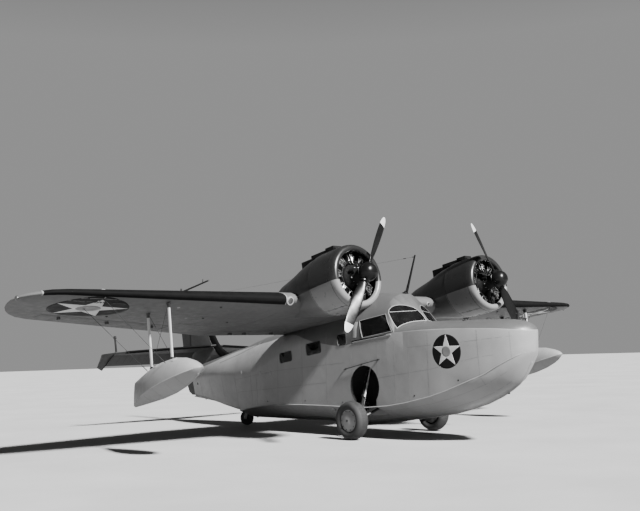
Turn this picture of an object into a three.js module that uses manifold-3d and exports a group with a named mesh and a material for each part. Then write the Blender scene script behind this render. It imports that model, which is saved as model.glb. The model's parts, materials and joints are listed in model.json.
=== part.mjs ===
// Twin-engined flying boat with wheels, standing nose-up on its landing gear.
// Millimetres. +Z is up, the nose points along -Y and starboard is -X.
// Sizes are worked out with y = 0 at the main axle; the whole group is then shifted
// so that the middle of its length is y = 0.

import * as THREE from 'three';
import { mergeVertices } from 'three/addons/utils/BufferGeometryUtils.js';
import Module from 'manifold-3d';

const wasm = await Module();
wasm.setup();

// Driving dimensions

const HALF_SPAN = 7470;
const BOW_Y = -3515;
const TAIL_Y = 8145;
const MID_Y = (BOW_Y + TAIL_Y) / 2;
const SEAT_GAP = 0.4;
const MOVING_GAP = 8;
const PIN_RADIUS = 12;
const PIN_GAP = 0.8;
const BODY_TILT = 0.13;
const WALL = 28;
const WALL_REBATE = 6;

// Engines and propellers, measured along the thrust line from the propeller's plane
const ENGINE_X = 1880;
const HUB_Y = -1311;
const HUB_Z = 3105;
const THRUST_TILT = 0.1595;
const PROP_RADIUS = 1295;
const COWL_FRONT = 200;
const COWL_REAR = 960;
const COWL_RADIUS = 610;
const COWL_OPENING = 473;
const CYLINDER_COUNT = 9;

// Wing: leading edge, chord and set of the straight centre, then taper outboard of it
const WING_BREAK = 2650;
const WING_LE_Y = -6;
const WING_LE_Z = 2705;
const WING_CHORD = 3131;
const WING_SET = 0.1833;
const WING_LE_SWEEP = 0.0896;
const WING_DIHEDRAL = 0.0145;
const WING_TAPER = 0.3052;
const WING_TIP_START = 6750;
const ROOT_THICKNESS = 0.15;
const TIP_THICKNESS = 0.1;
const WING_CAMBER = 0.02;
const FLAP_SPAN = [860, 2620];
const FLAP_HINGE = 0.8;
const AILERON_SPAN = [3950, 6680];
const AILERON_HINGE = 0.76;

// Tail
const ELEVATOR_SPAN = [170, 2560];
const TIP_JOINT = 2576;
const ELEVATOR_DROOP = 0.52;
const ELEVATOR_CHORD = 500;
const RUDDER_HINGE_FOOT = [7400, 650];
const RUDDER_HINGE_LEAN = 0.115;

// Landing gear
const TRACK_HALF = 1160;
const TYRE_RADIUS = 370;
const TYRE_HALF_WIDTH = 140;
const TAIL_WHEEL_Y = 5060;
const TAIL_WHEEL_RADIUS = 180;
const CASTER_TRAIL = 75;
const CASTER_SWING = THREE.MathUtils.degToRad(22);
const WELL_Y = 40;
const WELL_Z = 1000;
const WELL_RADIUS = 415;
const WELL_INNER_X = 430;
const WELL_WALL = 25;

// Joints between the lengths of the hull
const BOW_JOINT_Y = -1050;
const COCKPIT_JOINT_Y = 402;
const TAIL_JOINT_Y = 4050;

// Wing floats
const FLOAT_X = 5000;

// Cockpit
const SILL_Z = 1950;
const SILL_SLOPE = -0.1;
const CANOPY_REAR_Y = 400;
const CAVITY_FRONT_Y = -930;
const CABIN_REAR_Y = 4000;
const SCREEN_FOOT = new THREE.Vector3(0, -1030, 2260);
const SCREEN_NORMAL = new THREE.Vector3(-0.385, -0.7, 0.6).normalize();

const SIDES = [
  { name: 'starboard', sign: -1 },
  { name: 'port', sign: 1 },
];

// Materials

const paint = (color, roughness, metalness = 0.1) =>
  new THREE.MeshStandardMaterial({ color, roughness, metalness });

const MATERIAL = {
  hull: paint(0xb8bab8, 0.5),
  deck: paint(0x8b8e8c, 0.55),
  wing: paint(0xa9acaa, 0.55),
  dark: paint(0x3d4042, 0.5),
  black: paint(0x151617, 0.45),
  metal: paint(0x9a9c9e, 0.35, 0.9),
  engine: paint(0x55585a, 0.4, 0.8),
  bright: paint(0xd8d8d4, 0.4),
  rubber: paint(0x1c1c1d, 0.85, 0),
  hub: paint(0xc4c5c2, 0.4),
  leather: paint(0x3a2c22, 0.7, 0),
  glass: new THREE.MeshStandardMaterial({
    color: 0x20282c, roughness: 0.05, metalness: 0, transparent: true, opacity: 0.35,
  }),
};

// Geometry helpers

function signedVolume(points, triangles) {
  let volume = 0;
  for (let i = 0; i < triangles.length; i += 3) {
    const a = points[triangles[i]];
    const b = points[triangles[i + 1]];
    const c = points[triangles[i + 2]];
    volume += a.dot(b.clone().cross(c));
  }
  return volume / 6;
}

// Triangles across a ring, zigzagging from its first point to its middle one.
function capTriangles(count) {
  const triangles = [];
  let low = 0;
  let high = count - 1;
  while (high - low > 1) {
    triangles.push([low, low + 1, high]);
    if (high - low > 2) triangles.push([low + 1, high - 1, high]);
    low += 1;
    high -= 1;
  }
  return triangles;
}

// A closed body through rings of equal point count, with flat ends.
function loft(rings) {
  const count = rings[0].length;
  const points = rings.flat();
  const triangles = [];
  for (let r = 0; r < rings.length - 1; r++) {
    for (let i = 0; i < count; i++) {
      const a = r * count + i;
      const b = r * count + ((i + 1) % count);
      triangles.push(a, b, b + count, a, b + count, a + count);
    }
  }
  const last = (rings.length - 1) * count;
  for (const [a, b, c] of capTriangles(count)) {
    triangles.push(a, c, b);
    triangles.push(last + a, last + b, last + c);
  }
  if (signedVolume(points, triangles) < 0) triangles.reverse();
  const geometry = new THREE.BufferGeometry();
  geometry.setAttribute('position', new THREE.Float32BufferAttribute(points.flatMap((p) => p.toArray()), 3));
  geometry.setIndex(triangles);
  return geometry;
}

function solidOf(geometry) {
  const bare = geometry.clone();
  bare.deleteAttribute('normal');
  bare.deleteAttribute('uv');
  const merged = mergeVertices(bare, 0.001);
  return new wasm.Manifold(new wasm.Mesh({
    numProp: 3,
    vertProperties: new Float32Array(merged.attributes.position.array),
    triVerts: new Uint32Array(merged.index.array),
  }));
}

function geometryOf(solid) {
  const mesh = solid.getMesh();
  const geometry = new THREE.BufferGeometry();
  geometry.setAttribute('position', new THREE.BufferAttribute(new Float32Array(mesh.vertProperties), 3));
  geometry.setIndex(new THREE.BufferAttribute(new Uint32Array(mesh.triVerts), 1));
  geometry.computeVertexNormals();
  return geometry;
}

const join = (...geometries) => geometries.map(solidOf).reduce((sum, part) => sum.add(part));
const cut = (solid, ...geometries) => geometries.map(solidOf).reduce((rest, part) => rest.subtract(part), solid);

function box(x1, x2, y1, y2, z1, z2) {
  return new THREE.BoxGeometry(x2 - x1, y2 - y1, z2 - z1)
    .translate((x1 + x2) / 2, (y1 + y2) / 2, (z1 + z2) / 2);
}

// A round bar between two points; a second radius makes it a cone.
function bar(from, to, radius, sides = 12, endRadius = radius) {
  const start = new THREE.Vector3(...from);
  const end = new THREE.Vector3(...to);
  const along = end.clone().sub(start);
  const turn = new THREE.Quaternion().setFromUnitVectors(new THREE.Vector3(0, 1, 0), along.clone().normalize());
  return new THREE.CylinderGeometry(endRadius, radius, along.length(), sides)
    .applyQuaternion(turn)
    .translate(...start.add(end).multiplyScalar(0.5).toArray());
}

// A streamlined strut: flattened level sections between two points.
function strut(from, to, halfWidth, halfChord, sides = 12) {
  const ringAt = ([x, y, z]) => Array.from({ length: sides }, (_, i) => {
    const angle = (2 * Math.PI * i) / sides;
    return new THREE.Vector3(x + halfWidth * Math.cos(angle), y + halfChord * Math.sin(angle), z);
  });
  return loft([ringAt(from), ringAt(to)]);
}

// A prism along X with a rounded outline, turned to lie along the body.
function windowPrism(x1, x2, { y, z, width, height, corner, inset = 0 }) {
  const w = width / 2 - inset;
  const h = height / 2 - inset;
  const r = corner - inset;
  const shape = new THREE.Shape();
  shape.moveTo(-w + r, -h);
  shape.lineTo(w - r, -h).absarc(w - r, -h + r, r, -Math.PI / 2, 0);
  shape.lineTo(w, h - r).absarc(w - r, h - r, r, 0, Math.PI / 2);
  shape.lineTo(-w + r, h).absarc(-w + r, h - r, r, Math.PI / 2, Math.PI);
  shape.lineTo(-w, -h + r).absarc(-w + r, -h + r, r, Math.PI, Math.PI * 1.5);
  return new THREE.ExtrudeGeometry(shape, { depth: x2 - x1, bevelEnabled: false, curveSegments: 2 })
    .rotateZ(-BODY_TILT)
    .rotateX(Math.PI / 2)
    .rotateZ(Math.PI / 2)
    .translate(x1, y, z);
}

// A prism along X through a polygon of [y, z] corners.
function prismX(x1, x2, corners) {
  return loft([x1, x2].map((x) => corners.map(([y, z]) => new THREE.Vector3(x, y, z))));
}

// A large block whose one face passes through a point, lying on the normal's side of it.
function halfSpace(point, normal, size = 6000) {
  const turn = new THREE.Quaternion().setFromUnitVectors(new THREE.Vector3(0, 0, 1), normal);
  return new THREE.BoxGeometry(size, size, size)
    .translate(0, 0, size / 2)
    .applyQuaternion(turn)
    .translate(point.x, point.y, point.z);
}

const mirrored = (vector, sign) => new THREE.Vector3(-sign * vector.x, vector.y, vector.z);

// A body turned about Y; the profile is run in whichever sense has its faces out.
function lathe(profile, segments) {
  const points = profile.map(([r, d]) => new THREE.Vector2(r, d));
  const moment = points.slice(1).reduce((sum, p, i) => sum + (p.y - points[i].y) * (p.x + points[i].x) ** 2, 0);
  return new THREE.LatheGeometry(moment < 0 ? points.reverse() : points, segments);
}

// Hull

// Fullness of the rounded tops: 2 is an ellipse, less is flatter at the edges
const DECK_POWER = 1.6;
const CROWN_POWER = 1.9;

const HULL = [
  // y, keel z, chine half width, chine z, bottom curve, side half width, side top z, crown z
  { y: BOW_Y, keel: 1560, chineX: 60, chineZ: 1605, curve: 1.4, sideX: 80, sideZ: 1950, top: 2010, power: DECK_POWER },
  { y: -3478, keel: 1480, chineX: 145, chineZ: 1592, curve: 1.4, sideX: 170, sideZ: 1955, top: 2060, power: DECK_POWER },
  { y: -3412, keel: 1370, chineX: 235, chineZ: 1568, curve: 1.5, sideX: 260, sideZ: 1965, top: 2110, power: DECK_POWER },
  { y: -3320, keel: 1220, chineX: 315, chineZ: 1520, curve: 1.6, sideX: 345, sideZ: 1975, top: 2145, power: DECK_POWER },
  { y: -3190, keel: 1060, chineX: 390, chineZ: 1450, curve: 1.7, sideX: 430, sideZ: 1990, top: 2175, power: DECK_POWER },
  { y: -3020, keel: 945, chineX: 465, chineZ: 1355, curve: 1.7, sideX: 510, sideZ: 2005, top: 2188, power: DECK_POWER },
  { y: -2780, keel: 815, chineX: 545, chineZ: 1215, curve: 1.65, sideX: 592, sideZ: 2020, top: 2197, power: DECK_POWER },
  { y: -2450, keel: 680, chineX: 625, chineZ: 1090, curve: 1.6, sideX: 662, sideZ: 2035, top: 2208, power: DECK_POWER },
  { y: -2020, keel: 560, chineX: 695, chineZ: 930, curve: 1.5, sideX: 708, sideZ: 2040, top: 2218, power: DECK_POWER },
  { y: -1660, keel: 475, chineX: 737, chineZ: 825, curve: 1.4, sideX: 728, sideZ: 2040, top: 2228, power: DECK_POWER },
  { y: -1050, keel: 385, chineX: 758, chineZ: 700, curve: 1.3, sideX: 742, sideZ: 2038, top: 2240, power: DECK_POWER },
  { y: -600, keel: 335, chineX: 760, chineZ: 635, curve: 1.25, sideX: 748, sideZ: 2010, top: 2250, power: DECK_POWER },
  { y: -599, keel: 335, chineX: 760, chineZ: 635, curve: 1.25, sideX: 748, sideZ: 1990, top: 2010 },
  { y: 0, keel: 245, chineX: 760, chineZ: 590, curve: 1.2, sideX: 748, sideZ: 1925, top: 1950 },
  { y: 401, keel: 205, chineX: 760, chineZ: 588, curve: 1.2, sideX: 748, sideZ: 1885, top: 1910 },
  { y: 402, keel: 205, chineX: 760, chineZ: 588, curve: 1.2, sideX: 748, sideZ: 1950, top: 2740 },
  { y: 850, keel: 160, chineX: 760, chineZ: 592, curve: 1.2, sideX: 748, sideZ: 1950, top: 2760 },
  { y: 1300, keel: 120, chineX: 760, chineZ: 600, curve: 1.2, sideX: 748, sideZ: 1935, top: 2690 },
  { y: 1304, keel: 200, chineX: 760, chineZ: 600, curve: 1.15, sideX: 748, sideZ: 1935, top: 2690 },
  { y: 2000, keel: 220, chineX: 760, chineZ: 600, curve: 1.1, sideX: 748, sideZ: 1870, top: 2500 },
  { y: 2600, keel: 220, chineX: 760, chineZ: 592, curve: 1.1, sideX: 740, sideZ: 1740, top: 2300 },
  { y: 3070, keel: 220, chineX: 745, chineZ: 575, curve: 1.1, sideX: 722, sideZ: 1560, top: 2245 },
  { y: 3500, keel: 220, chineX: 680, chineZ: 540, curve: 1.1, sideX: 686, sideZ: 1390, top: 2195 },
  { y: 4000, keel: 220, chineX: 575, chineZ: 490, curve: 1.1, sideX: 636, sideZ: 1250, top: 2130 },
  { y: 4450, keel: 220, chineX: 480, chineZ: 430, curve: 1.1, sideX: 592, sideZ: 1210, top: 2030 },
  { y: 4820, keel: 220, chineX: 400, chineZ: 370, curve: 1.1, sideX: 553, sideZ: 1195, top: 1930 },
  { y: 4824, keel: 330, chineX: 398, chineZ: 420, curve: 1.2, sideX: 552, sideZ: 1195, top: 1929 },
  { y: 5300, keel: 360, chineX: 360, chineZ: 470, curve: 1.3, sideX: 505, sideZ: 1195, top: 1840 },
  { y: 5900, keel: 475, chineX: 290, chineZ: 560, curve: 1.4, sideX: 435, sideZ: 1190, top: 1722 },
  { y: 6500, keel: 570, chineX: 200, chineZ: 640, curve: 1.4, sideX: 325, sideZ: 1150, top: 1610 },
  { y: 7000, keel: 620, chineX: 115, chineZ: 680, curve: 1.4, sideX: 205, sideZ: 1090, top: 1520 },
  { y: 7480, keel: 665, chineX: 40, chineZ: 710, curve: 1.4, sideX: 75, sideZ: 1040, top: 1440 },
];

// Cabin top, from ahead of the windscreen to where it sinks into the wing.
const CANOPY = [
  { y: -1200, sideX: 736, sideZ: 2020, top: 2500 },
  { y: -900, sideX: 744, sideZ: 2000, top: 2665 },
  { y: -640, sideX: 748, sideZ: 1990, top: 2790 },
  { y: -440, sideX: 748, sideZ: 1975, top: 2842 },
  { y: -200, sideX: 748, sideZ: 1960, top: 2865 },
  { y: 100, sideX: 748, sideZ: 1955, top: 2892 },
  { y: 440, sideX: 748, sideZ: 1950, top: 2900 },
  { y: 900, sideX: 748, sideZ: 1950, top: 2810 },
];

const CROWN_STEPS = 7;
const BOTTOM_STOPS = [0, 0.35, 0.7, 1];
const SIDE_STOPS = [0.34, 0.67, 1];

// Points of the rounded top, from the side's edge to the middle.
function crownPoints(row, grow) {
  return Array.from({ length: CROWN_STEPS }, (_, i) => {
    const angle = ((i + 1) / CROWN_STEPS) * (Math.PI / 2);
    const power = 2 / (row.power ?? CROWN_POWER);
    const reach = i + 1 === CROWN_STEPS ? 0 : Math.cos(angle) ** power;
    const rise = Math.sin(angle) ** power;
    return [reach * (row.sideX + grow), row.sideZ + rise * (row.top + grow - row.sideZ)];
  });
}

// A closed ring at one station from its starboard half outline, bottom to top.
function mirroredRing(y, half) {
  const starboard = half.map(([x, z]) => new THREE.Vector3(-x, y, z));
  const port = half.slice(1, -1).reverse().map(([x, z]) => new THREE.Vector3(x, y, z));
  return [...starboard, ...port];
}

function hullRing(row, grow = 0) {
  const bottom = BOTTOM_STOPS.map((s) => [
    s * (row.chineX + grow),
    row.keel - grow + (row.chineZ - row.keel) * s ** row.curve,
  ]);
  const sides = SIDE_STOPS.map((s) => [
    row.chineX + s * (row.sideX - row.chineX) + grow,
    row.chineZ + s * (row.sideZ - row.chineZ),
  ]);
  return mirroredRing(row.y, [...bottom, ...sides, ...crownPoints(row, grow)]);
}

const hullForm = (grow = 0) => loft(HULL.map((row) => hullRing(row, grow)));

function canopyForm(grow = 0) {
  return loft(CANOPY.map((row) => {
    const base = [[0, row.sideZ - 300], [row.sideX + grow, row.sideZ - 300], [row.sideX + grow, row.sideZ]];
    return mirroredRing(row.y, [...base, ...crownPoints(row, grow)]);
  }));
}

const CABIN_SPACE = [
  // y, floor z, half width at the floor, side half width, side top z, crown z
  { y: CAVITY_FRONT_Y, floor: 1010, floorX: 722, sideX: 744, sideZ: 2000, top: 2650 },
  { y: -640, floor: 960, floorX: 728, sideX: 748, sideZ: 1990, top: 2790 },
  { y: -440, floor: 935, floorX: 728, sideX: 748, sideZ: 1975, top: 2842 },
  { y: -200, floor: 905, floorX: 728, sideX: 748, sideZ: 1960, top: 2865 },
  { y: 100, floor: 868, floorX: 728, sideX: 748, sideZ: 1955, top: 2892 },
  { y: 440, floor: 826, floorX: 728, sideX: 748, sideZ: 1950, top: 2900 },
  { y: 850, floor: 775, floorX: 728, sideX: 748, sideZ: 1950, top: 2760 },
  { y: 1300, floor: 719, floorX: 728, sideX: 748, sideZ: 1935, top: 2690 },
  { y: 2000, floor: 650, floorX: 728, sideX: 748, sideZ: 1870, top: 2500 },
  { y: 2600, floor: 650, floorX: 715, sideX: 740, sideZ: 1740, top: 2300 },
  { y: 3070, floor: 650, floorX: 695, sideX: 722, sideZ: 1560, top: 2245 },
  { y: 3500, floor: 650, floorX: 650, sideX: 686, sideZ: 1390, top: 2195 },
  { y: CABIN_REAR_Y, floor: 650, floorX: 555, sideX: 636, sideZ: 1250, top: 2130 },
];

// The hollow of the cockpit and cabin, one wall's thickness inside the skin.
function cabinSpace(inset = 0) {
  const wall = WALL + inset;
  const rings = CABIN_SPACE.map((row) => {
    const inner = { ...row, top: row.top - wall, sideX: row.sideX - wall };
    const floor = row.floor + inset;
    const base = [[0, floor], [row.floorX - WALL / 2 - inset, floor], [inner.sideX, row.sideZ]];
    return mirroredRing(row.y, [...base, ...crownPoints(inner, 0)]);
  });
  return loft(rings);
}

function wheelWell(sign, grow = 0) {
  const inner = WELL_INNER_X - grow;
  const round = bar([sign * inner, WELL_Y, WELL_Z], [sign * 900, WELL_Y, WELL_Z], WELL_RADIUS + grow, grow > 0 ? 20 : 28);
  const x = [sign * inner, sign * 900].sort((a, b) => a - b);
  const slot = box(x[0], x[1], -290 - grow, 300 + grow, 150, WELL_Z);
  return geometryOf(join(round, slot));
}

const CABIN_WINDOWS = [
  { name: 'rear', y: 2560, z: 1628, width: 440, height: 215, corner: 45 },
  { name: 'middle', y: 1590, z: 1795, width: 480, height: 245, corner: 45 },
  { name: 'front', y: 695, z: 1945, width: 265, height: 220, corner: 45 },
];

const SIDE_WINDOW = [[200, 2305], [-500, 2405], [-752, 2066], [60, 1968]];

// Windscreen pane outlines: across the pane from the centre post's foot, then up it
const SCREEN_OPENING = [
  [40, 0], [163, -2], [302, -14], [417, -42], [529, -85], [600, -125], [664, -170],
  [705, -50], [737, 90], [752, 200], [728, 285], [665, 352], [590, 388], [503, 402],
  [410, 396], [319, 374], [230, 334], [165, 280], [98, 175], [58, 80],
];

const DOOR = { y1: 2990, y2: 3720, z1: 930, z2: 1720, thickness: 15, ledge: 20 };
const HATCH = { y1: -2620, y2: -2080, halfWidth: 260, thickness: 14, ledge: 22 };

function screenFrame(sign) {
  const normal = mirrored(SCREEN_NORMAL, sign);
  const across = mirrored(new THREE.Vector3(SCREEN_NORMAL.y, -SCREEN_NORMAL.x, 0), sign).normalize();
  const up = sign < 0 ? across.clone().cross(normal) : normal.clone().cross(across);
  return { normal, across, up };
}

// A prism square to the windscreen through its outline, between two depths along its normal.
function screenPrism(sign, depth1, depth2, inset = 0) {
  const { normal, across, up } = screenFrame(sign);
  const centre = [400, 150];
  const ringAt = (depth) => SCREEN_OPENING.map(([u, v]) => {
    const shrink = (value, middle) => value + inset * Math.sign(middle - value);
    return SCREEN_FOOT.clone()
      .addScaledVector(across, shrink(u, centre[0]))
      .addScaledVector(up, shrink(v, centre[1]))
      .addScaledVector(normal, depth);
  });
  return loft([ringAt(depth1), ringAt(depth2)]);
}

const screenCut = (sign, depth = 0) => {
  const normal = mirrored(SCREEN_NORMAL, sign);
  return halfSpace(SCREEN_FOOT.clone().addScaledVector(normal, -depth), normal);
};

function sideWindowPrism(sign, inset = 0) {
  const centre = [-190, 2200];
  const corners = SIDE_WINDOW.map(([y, z]) => [
    y + inset * Math.sign(centre[0] - y),
    z + inset * Math.sign(centre[1] - z),
  ]);
  const x = [sign * 400, sign * 900].sort((a, b) => a - b);
  return prismX(x[0], x[1], corners);
}

function cabinWindowPrism(sign, window, inset = 0) {
  const x = [sign * 500, sign * 900].sort((a, b) => a - b);
  return windowPrism(x[0], x[1], { ...window, inset });
}

// Wing

function halfThickness(s, ratio) {
  const x = Math.min(Math.max(s, 0), 1);
  const shape = 0.2969 * Math.sqrt(x) - 0.126 * x - 0.3516 * x ** 2 + 0.2843 * x ** 3 - 0.1036 * x ** 4;
  return 5 * ratio * shape;
}

const camber = (s) => WING_CAMBER * 4 * s * (1 - s);

// The wing's section at a distance from the centreline.
function wingSection(ax) {
  const out = Math.max(ax - WING_BREAK, 0);
  const u = Math.max((ax - WING_TIP_START) / (HALF_SPAN - WING_TIP_START), 0);
  const shrink = Math.sqrt(Math.max(1 - u * u, 0));
  const straight = WING_CHORD - WING_TAPER * out;
  const taper = Math.min(out / (HALF_SPAN - WING_BREAK), 1);
  const inset = (1 - shrink) * straight * 0.4;
  return {
    leY: WING_LE_Y + WING_LE_SWEEP * out + inset * Math.cos(WING_SET),
    leZ: WING_LE_Z + WING_DIHEDRAL * out - inset * Math.sin(WING_SET),
    chord: straight * shrink,
    ratio: THREE.MathUtils.lerp(ROOT_THICKNESS, TIP_THICKNESS, taper),
  };
}

// A point of the section: s along the chord, h above the chord line, both as fractions of it.
function wingPoint(x, s, h) {
  const section = wingSection(Math.abs(x));
  const along = section.chord * s;
  const up = section.chord * h;
  return new THREE.Vector3(
    x,
    section.leY + along * Math.cos(WING_SET) + up * Math.sin(WING_SET),
    section.leZ - along * Math.sin(WING_SET) + up * Math.cos(WING_SET),
  );
}

const CHORD_STOPS = [0.006, 0.025, 0.07, 0.15, 0.28, 0.45, 0.62, 0.8];
const TRAILING_HALF = 3;

function wingRing(x, grow = 0) {
  const { chord, ratio } = wingSection(Math.abs(x));
  const stops = [0, ...CHORD_STOPS, 1];
  const at = (s, side) => {
    const lengthways = s + (grow / chord) * (2 * s - 1);
    const half = halfThickness(s, ratio) + (grow + s * TRAILING_HALF) / chord;
    return wingPoint(x, lengthways, camber(s) + side * half);
  };
  const upper = stops.slice(1).reverse().map((s) => at(s, 1));
  const nose = [wingPoint(x, -grow / chord, 0)];
  const lower = stops.slice(1).map((s) => at(s, -1));
  return [...upper, ...nose, ...lower];
}

const wingLoft = (stations, grow = 0) => loft(stations.map((x) => wingRing(x, grow)));

const TIP_STATIONS = [6750, 7000, 7180, 7310, 7400, 7450, 7466];
const OUTER_STATIONS = [WING_BREAK + SEAT_GAP / 2, ...TIP_STATIONS];

// The whole wing, a little larger, to cut what meets it.
function wingCutter() {
  const outer = SIDES.map(({ sign }) => wingLoft(OUTER_STATIONS.map((x) => sign * x), SEAT_GAP));
  return geometryOf(join(wingLoft([-WING_BREAK, WING_BREAK], SEAT_GAP), ...outer));
}

// The flap or aileron: the wing's rear with a round nose about its hinge line.
function hingedRing(x, hinge) {
  const { chord, ratio } = wingSection(Math.abs(x));
  const radius = halfThickness(hinge, ratio) + (hinge * TRAILING_HALF) / chord;
  const nose = [1, 2, 3, 4, 5].map((i) => {
    const angle = Math.PI / 2 + (i * Math.PI) / 6;
    return wingPoint(x, hinge + radius * Math.cos(angle), camber(hinge) + radius * Math.sin(angle));
  });
  const half = (s) => halfThickness(s, ratio) + (s * TRAILING_HALF) / chord;
  const middle = hinge + (1 - hinge) * 0.5;
  const upper = [1, middle, hinge].map((s) => wingPoint(x, s, camber(s) + half(s)));
  const lower = [hinge, middle, 1].map((s) => wingPoint(x, s, camber(s) - half(s)));
  return [...upper, ...nose, ...lower];
}

// The notch that a flap or aileron works in.
function hingedBay(sign, span, hinge) {
  const ringAt = (ax) => {
    const { chord, ratio } = wingSection(ax);
    const front = hinge - halfThickness(hinge, ratio) - (TRAILING_HALF + MOVING_GAP) / chord;
    const x = sign * ax;
    return [[front, -0.2], [1.2, -0.2], [1.2, 0.2], [front, 0.2]].map(([s, h]) => wingPoint(x, s, h));
  };
  return loft([span[0] - MOVING_GAP, span[1] + MOVING_GAP].map(ringAt));
}

// A round hinge pin along X between two distances out, about a hinge line.
function hingePin(sign, out1, out2, centreAt) {
  const sides = 10;
  return loft([out1, out2].map((ax) => {
    const centre = centreAt(ax);
    return Array.from({ length: sides }, (_, i) => {
      const angle = (2 * Math.PI * i) / sides;
      return new THREE.Vector3(
        sign * ax, centre.y + PIN_RADIUS * Math.cos(angle), centre.z + PIN_RADIUS * Math.sin(angle),
      );
    });
  }));
}

// A flap or aileron with the pins at its ends that carry it in its bay.
function hingedPanel(sign, span, hinge) {
  const centreAt = (ax) => wingPoint(sign * ax, hinge, camber(hinge));
  const reach = MOVING_GAP - PIN_GAP;
  return join(
    loft(span.map((ax) => hingedRing(sign * ax, hinge))),
    hingePin(sign, span[0] - reach, span[0] + 30, centreAt),
    hingePin(sign, span[1] - 30, span[1] + reach, centreAt),
  );
}

// Tail

const FIN = [
  // z, leading edge y, half thickness
  { z: 1480, le: 5500, half: 62 },
  { z: 1750, le: 5800, half: 66 },
  { z: 1880, le: 6100, half: 66 },
  { z: 2040, le: 6290, half: 65 },
  { z: 2230, le: 6440, half: 63 },
  { z: 2500, le: 6620, half: 60 },
  { z: 2900, le: 6850, half: 54 },
  { z: 3150, le: 7000, half: 48 },
  { z: 3270, le: 7130, half: 40 },
  { z: 3330, le: 7320, half: 26 },
];

const RUDDER = [
  // z, trailing edge y, half thickness at the hinge
  { z: 700, te: 7560, half: 44 },
  { z: 780, te: 7715, half: 48 },
  { z: 960, te: 7810, half: 52 },
  { z: 1480, te: 7910, half: 54 },
  { z: 1990, te: 8000, half: 53 },
  { z: 2500, te: 8090, half: 50 },
  { z: 2900, te: 8145, half: 44 },
  { z: 3120, te: 8120, half: 38 },
  { z: 3270, te: 8010, half: 30 },
  { z: 3350, te: 7860, half: 22 },
];

// Room for the rudder's nose ahead of its hinge line
const RUDDER_NOSE = 54;
const RUDDER_KNUCKLES = [1150, 1720, 2450];

const rudderHingeY = (z) => RUDDER_HINGE_FOOT[0] + RUDDER_HINGE_LEAN * (z - RUDDER_HINGE_FOOT[1]);

const finRearY = (z) => rudderHingeY(z) - RUDDER_NOSE - MOVING_GAP;

function finRing({ z, le, half }) {
  const rear = finRearY(z);
  const outline = [[0.97, rear], [1, le + 0.5 * (rear - le)], [0.8, le + 0.2 * (rear - le)], [0.42, le + 28]];
  const starboard = outline.map(([f, y]) => new THREE.Vector3(-f * half, y, z));
  const port = [...outline].reverse().map(([f, y]) => new THREE.Vector3(f * half, y, z));
  return [...starboard, new THREE.Vector3(0, le, z), ...port];
}

function rudderRing({ z, te, half }) {
  const hinge = rudderHingeY(z);
  const nose = Array.from({ length: 7 }, (_, i) => {
    const angle = (i * Math.PI) / 6;
    return new THREE.Vector3(half * Math.cos(angle), hinge - half * Math.sin(angle), z);
  });
  return [...nose, new THREE.Vector3(-4, te, z), new THREE.Vector3(4, te, z)];
}

const TAILPLANE = [
  // distance out, leading edge y and z, half thickness
  { x: 30, le: 6320, z: 1985, half: 58 },
  { x: 1200, le: 6585, z: 1930, half: 50 },
  { x: 2350, le: 6845, z: 1868, half: 40 },
  { x: TIP_JOINT - 1, le: 6915, z: 1855, half: 34 },
  { x: TIP_JOINT, le: 6916, z: 1855, half: 34 },
  { x: 2780, le: 7060, z: 1832, half: 22 },
  { x: 2840, le: 7160, z: 1818, half: 12 },
];

const elevatorHinge = (ax) => ({ y: 7180, z: 1863 - 0.0228 * ax });

// The fixed tailplane, with its round tip reaching back past the elevator's end.
function tailplaneRing(sign, { x, le, z, half }) {
  const hinge = elevatorHinge(x);
  const isTip = x >= TIP_JOINT;
  const rearY = isTip ? 2 * 7180 + 240 - le - (x > 2800 ? 60 : 0) : 7180 - 40 - MOVING_GAP;
  const slope = (hinge.z - z) / (7180 - le);
  const droop = (y) => Math.max(y - hinge.y, 0) * Math.tan(ELEVATOR_DROOP);
  const at = (f, y) => new THREE.Vector3(sign * x, y, z + slope * (y - le) - droop(y) + f * half);
  const stops = [[1, rearY], [1, le + 0.45 * (rearY - le)], [0.75, le + 0.18 * (rearY - le)], [0.4, le + 22]];
  const upper = stops.map(([f, y]) => at(isTip && y === rearY ? 0.15 : f * 0.8, y));
  const lower = [...stops].reverse().map(([f, y]) => at(isTip && y === rearY ? -0.15 : -f * 0.8, y));
  return [...upper, at(0, le), ...lower];
}

function elevatorRing(sign, ax) {
  const hinge = elevatorHinge(ax);
  const radius = 40 - 0.006 * ax;
  const chord = ELEVATOR_CHORD - 0.02 * ax;
  const droop = 0.14 + ELEVATOR_DROOP;
  const at = (along, up) => new THREE.Vector3(
    sign * ax,
    hinge.y + along * Math.cos(droop) + up * Math.sin(droop),
    hinge.z - along * Math.sin(droop) + up * Math.cos(droop),
  );
  const nose = Array.from({ length: 7 }, (_, i) => {
    const angle = Math.PI / 2 + (i * Math.PI) / 6;
    return at(radius * Math.cos(angle), radius * Math.sin(angle));
  });
  return [...nose, at(chord, -3), at(chord, 3)];
}

// Wing floats

const FLOAT = [
  // y, keel z, chine half width, chine z, crown z
  { y: -630, keel: 1485, chineX: 25, chineZ: 1508, top: 1532 },
  { y: -560, keel: 1405, chineX: 105, chineZ: 1485, top: 1578 },
  { y: -420, keel: 1307, chineX: 175, chineZ: 1440, top: 1625 },
  { y: -190, keel: 1195, chineX: 235, chineZ: 1372, top: 1668 },
  { y: 110, keel: 1090, chineX: 268, chineZ: 1285, top: 1675 },
  { y: 510, keel: 990, chineX: 262, chineZ: 1172, top: 1610 },
  { y: 910, keel: 918, chineX: 215, chineZ: 1060, top: 1500 },
  { y: 1310, keel: 850, chineX: 120, chineZ: 930, top: 1345 },
  { y: 1545, keel: 812, chineX: 28, chineZ: 842, top: 1245 },
];

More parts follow.
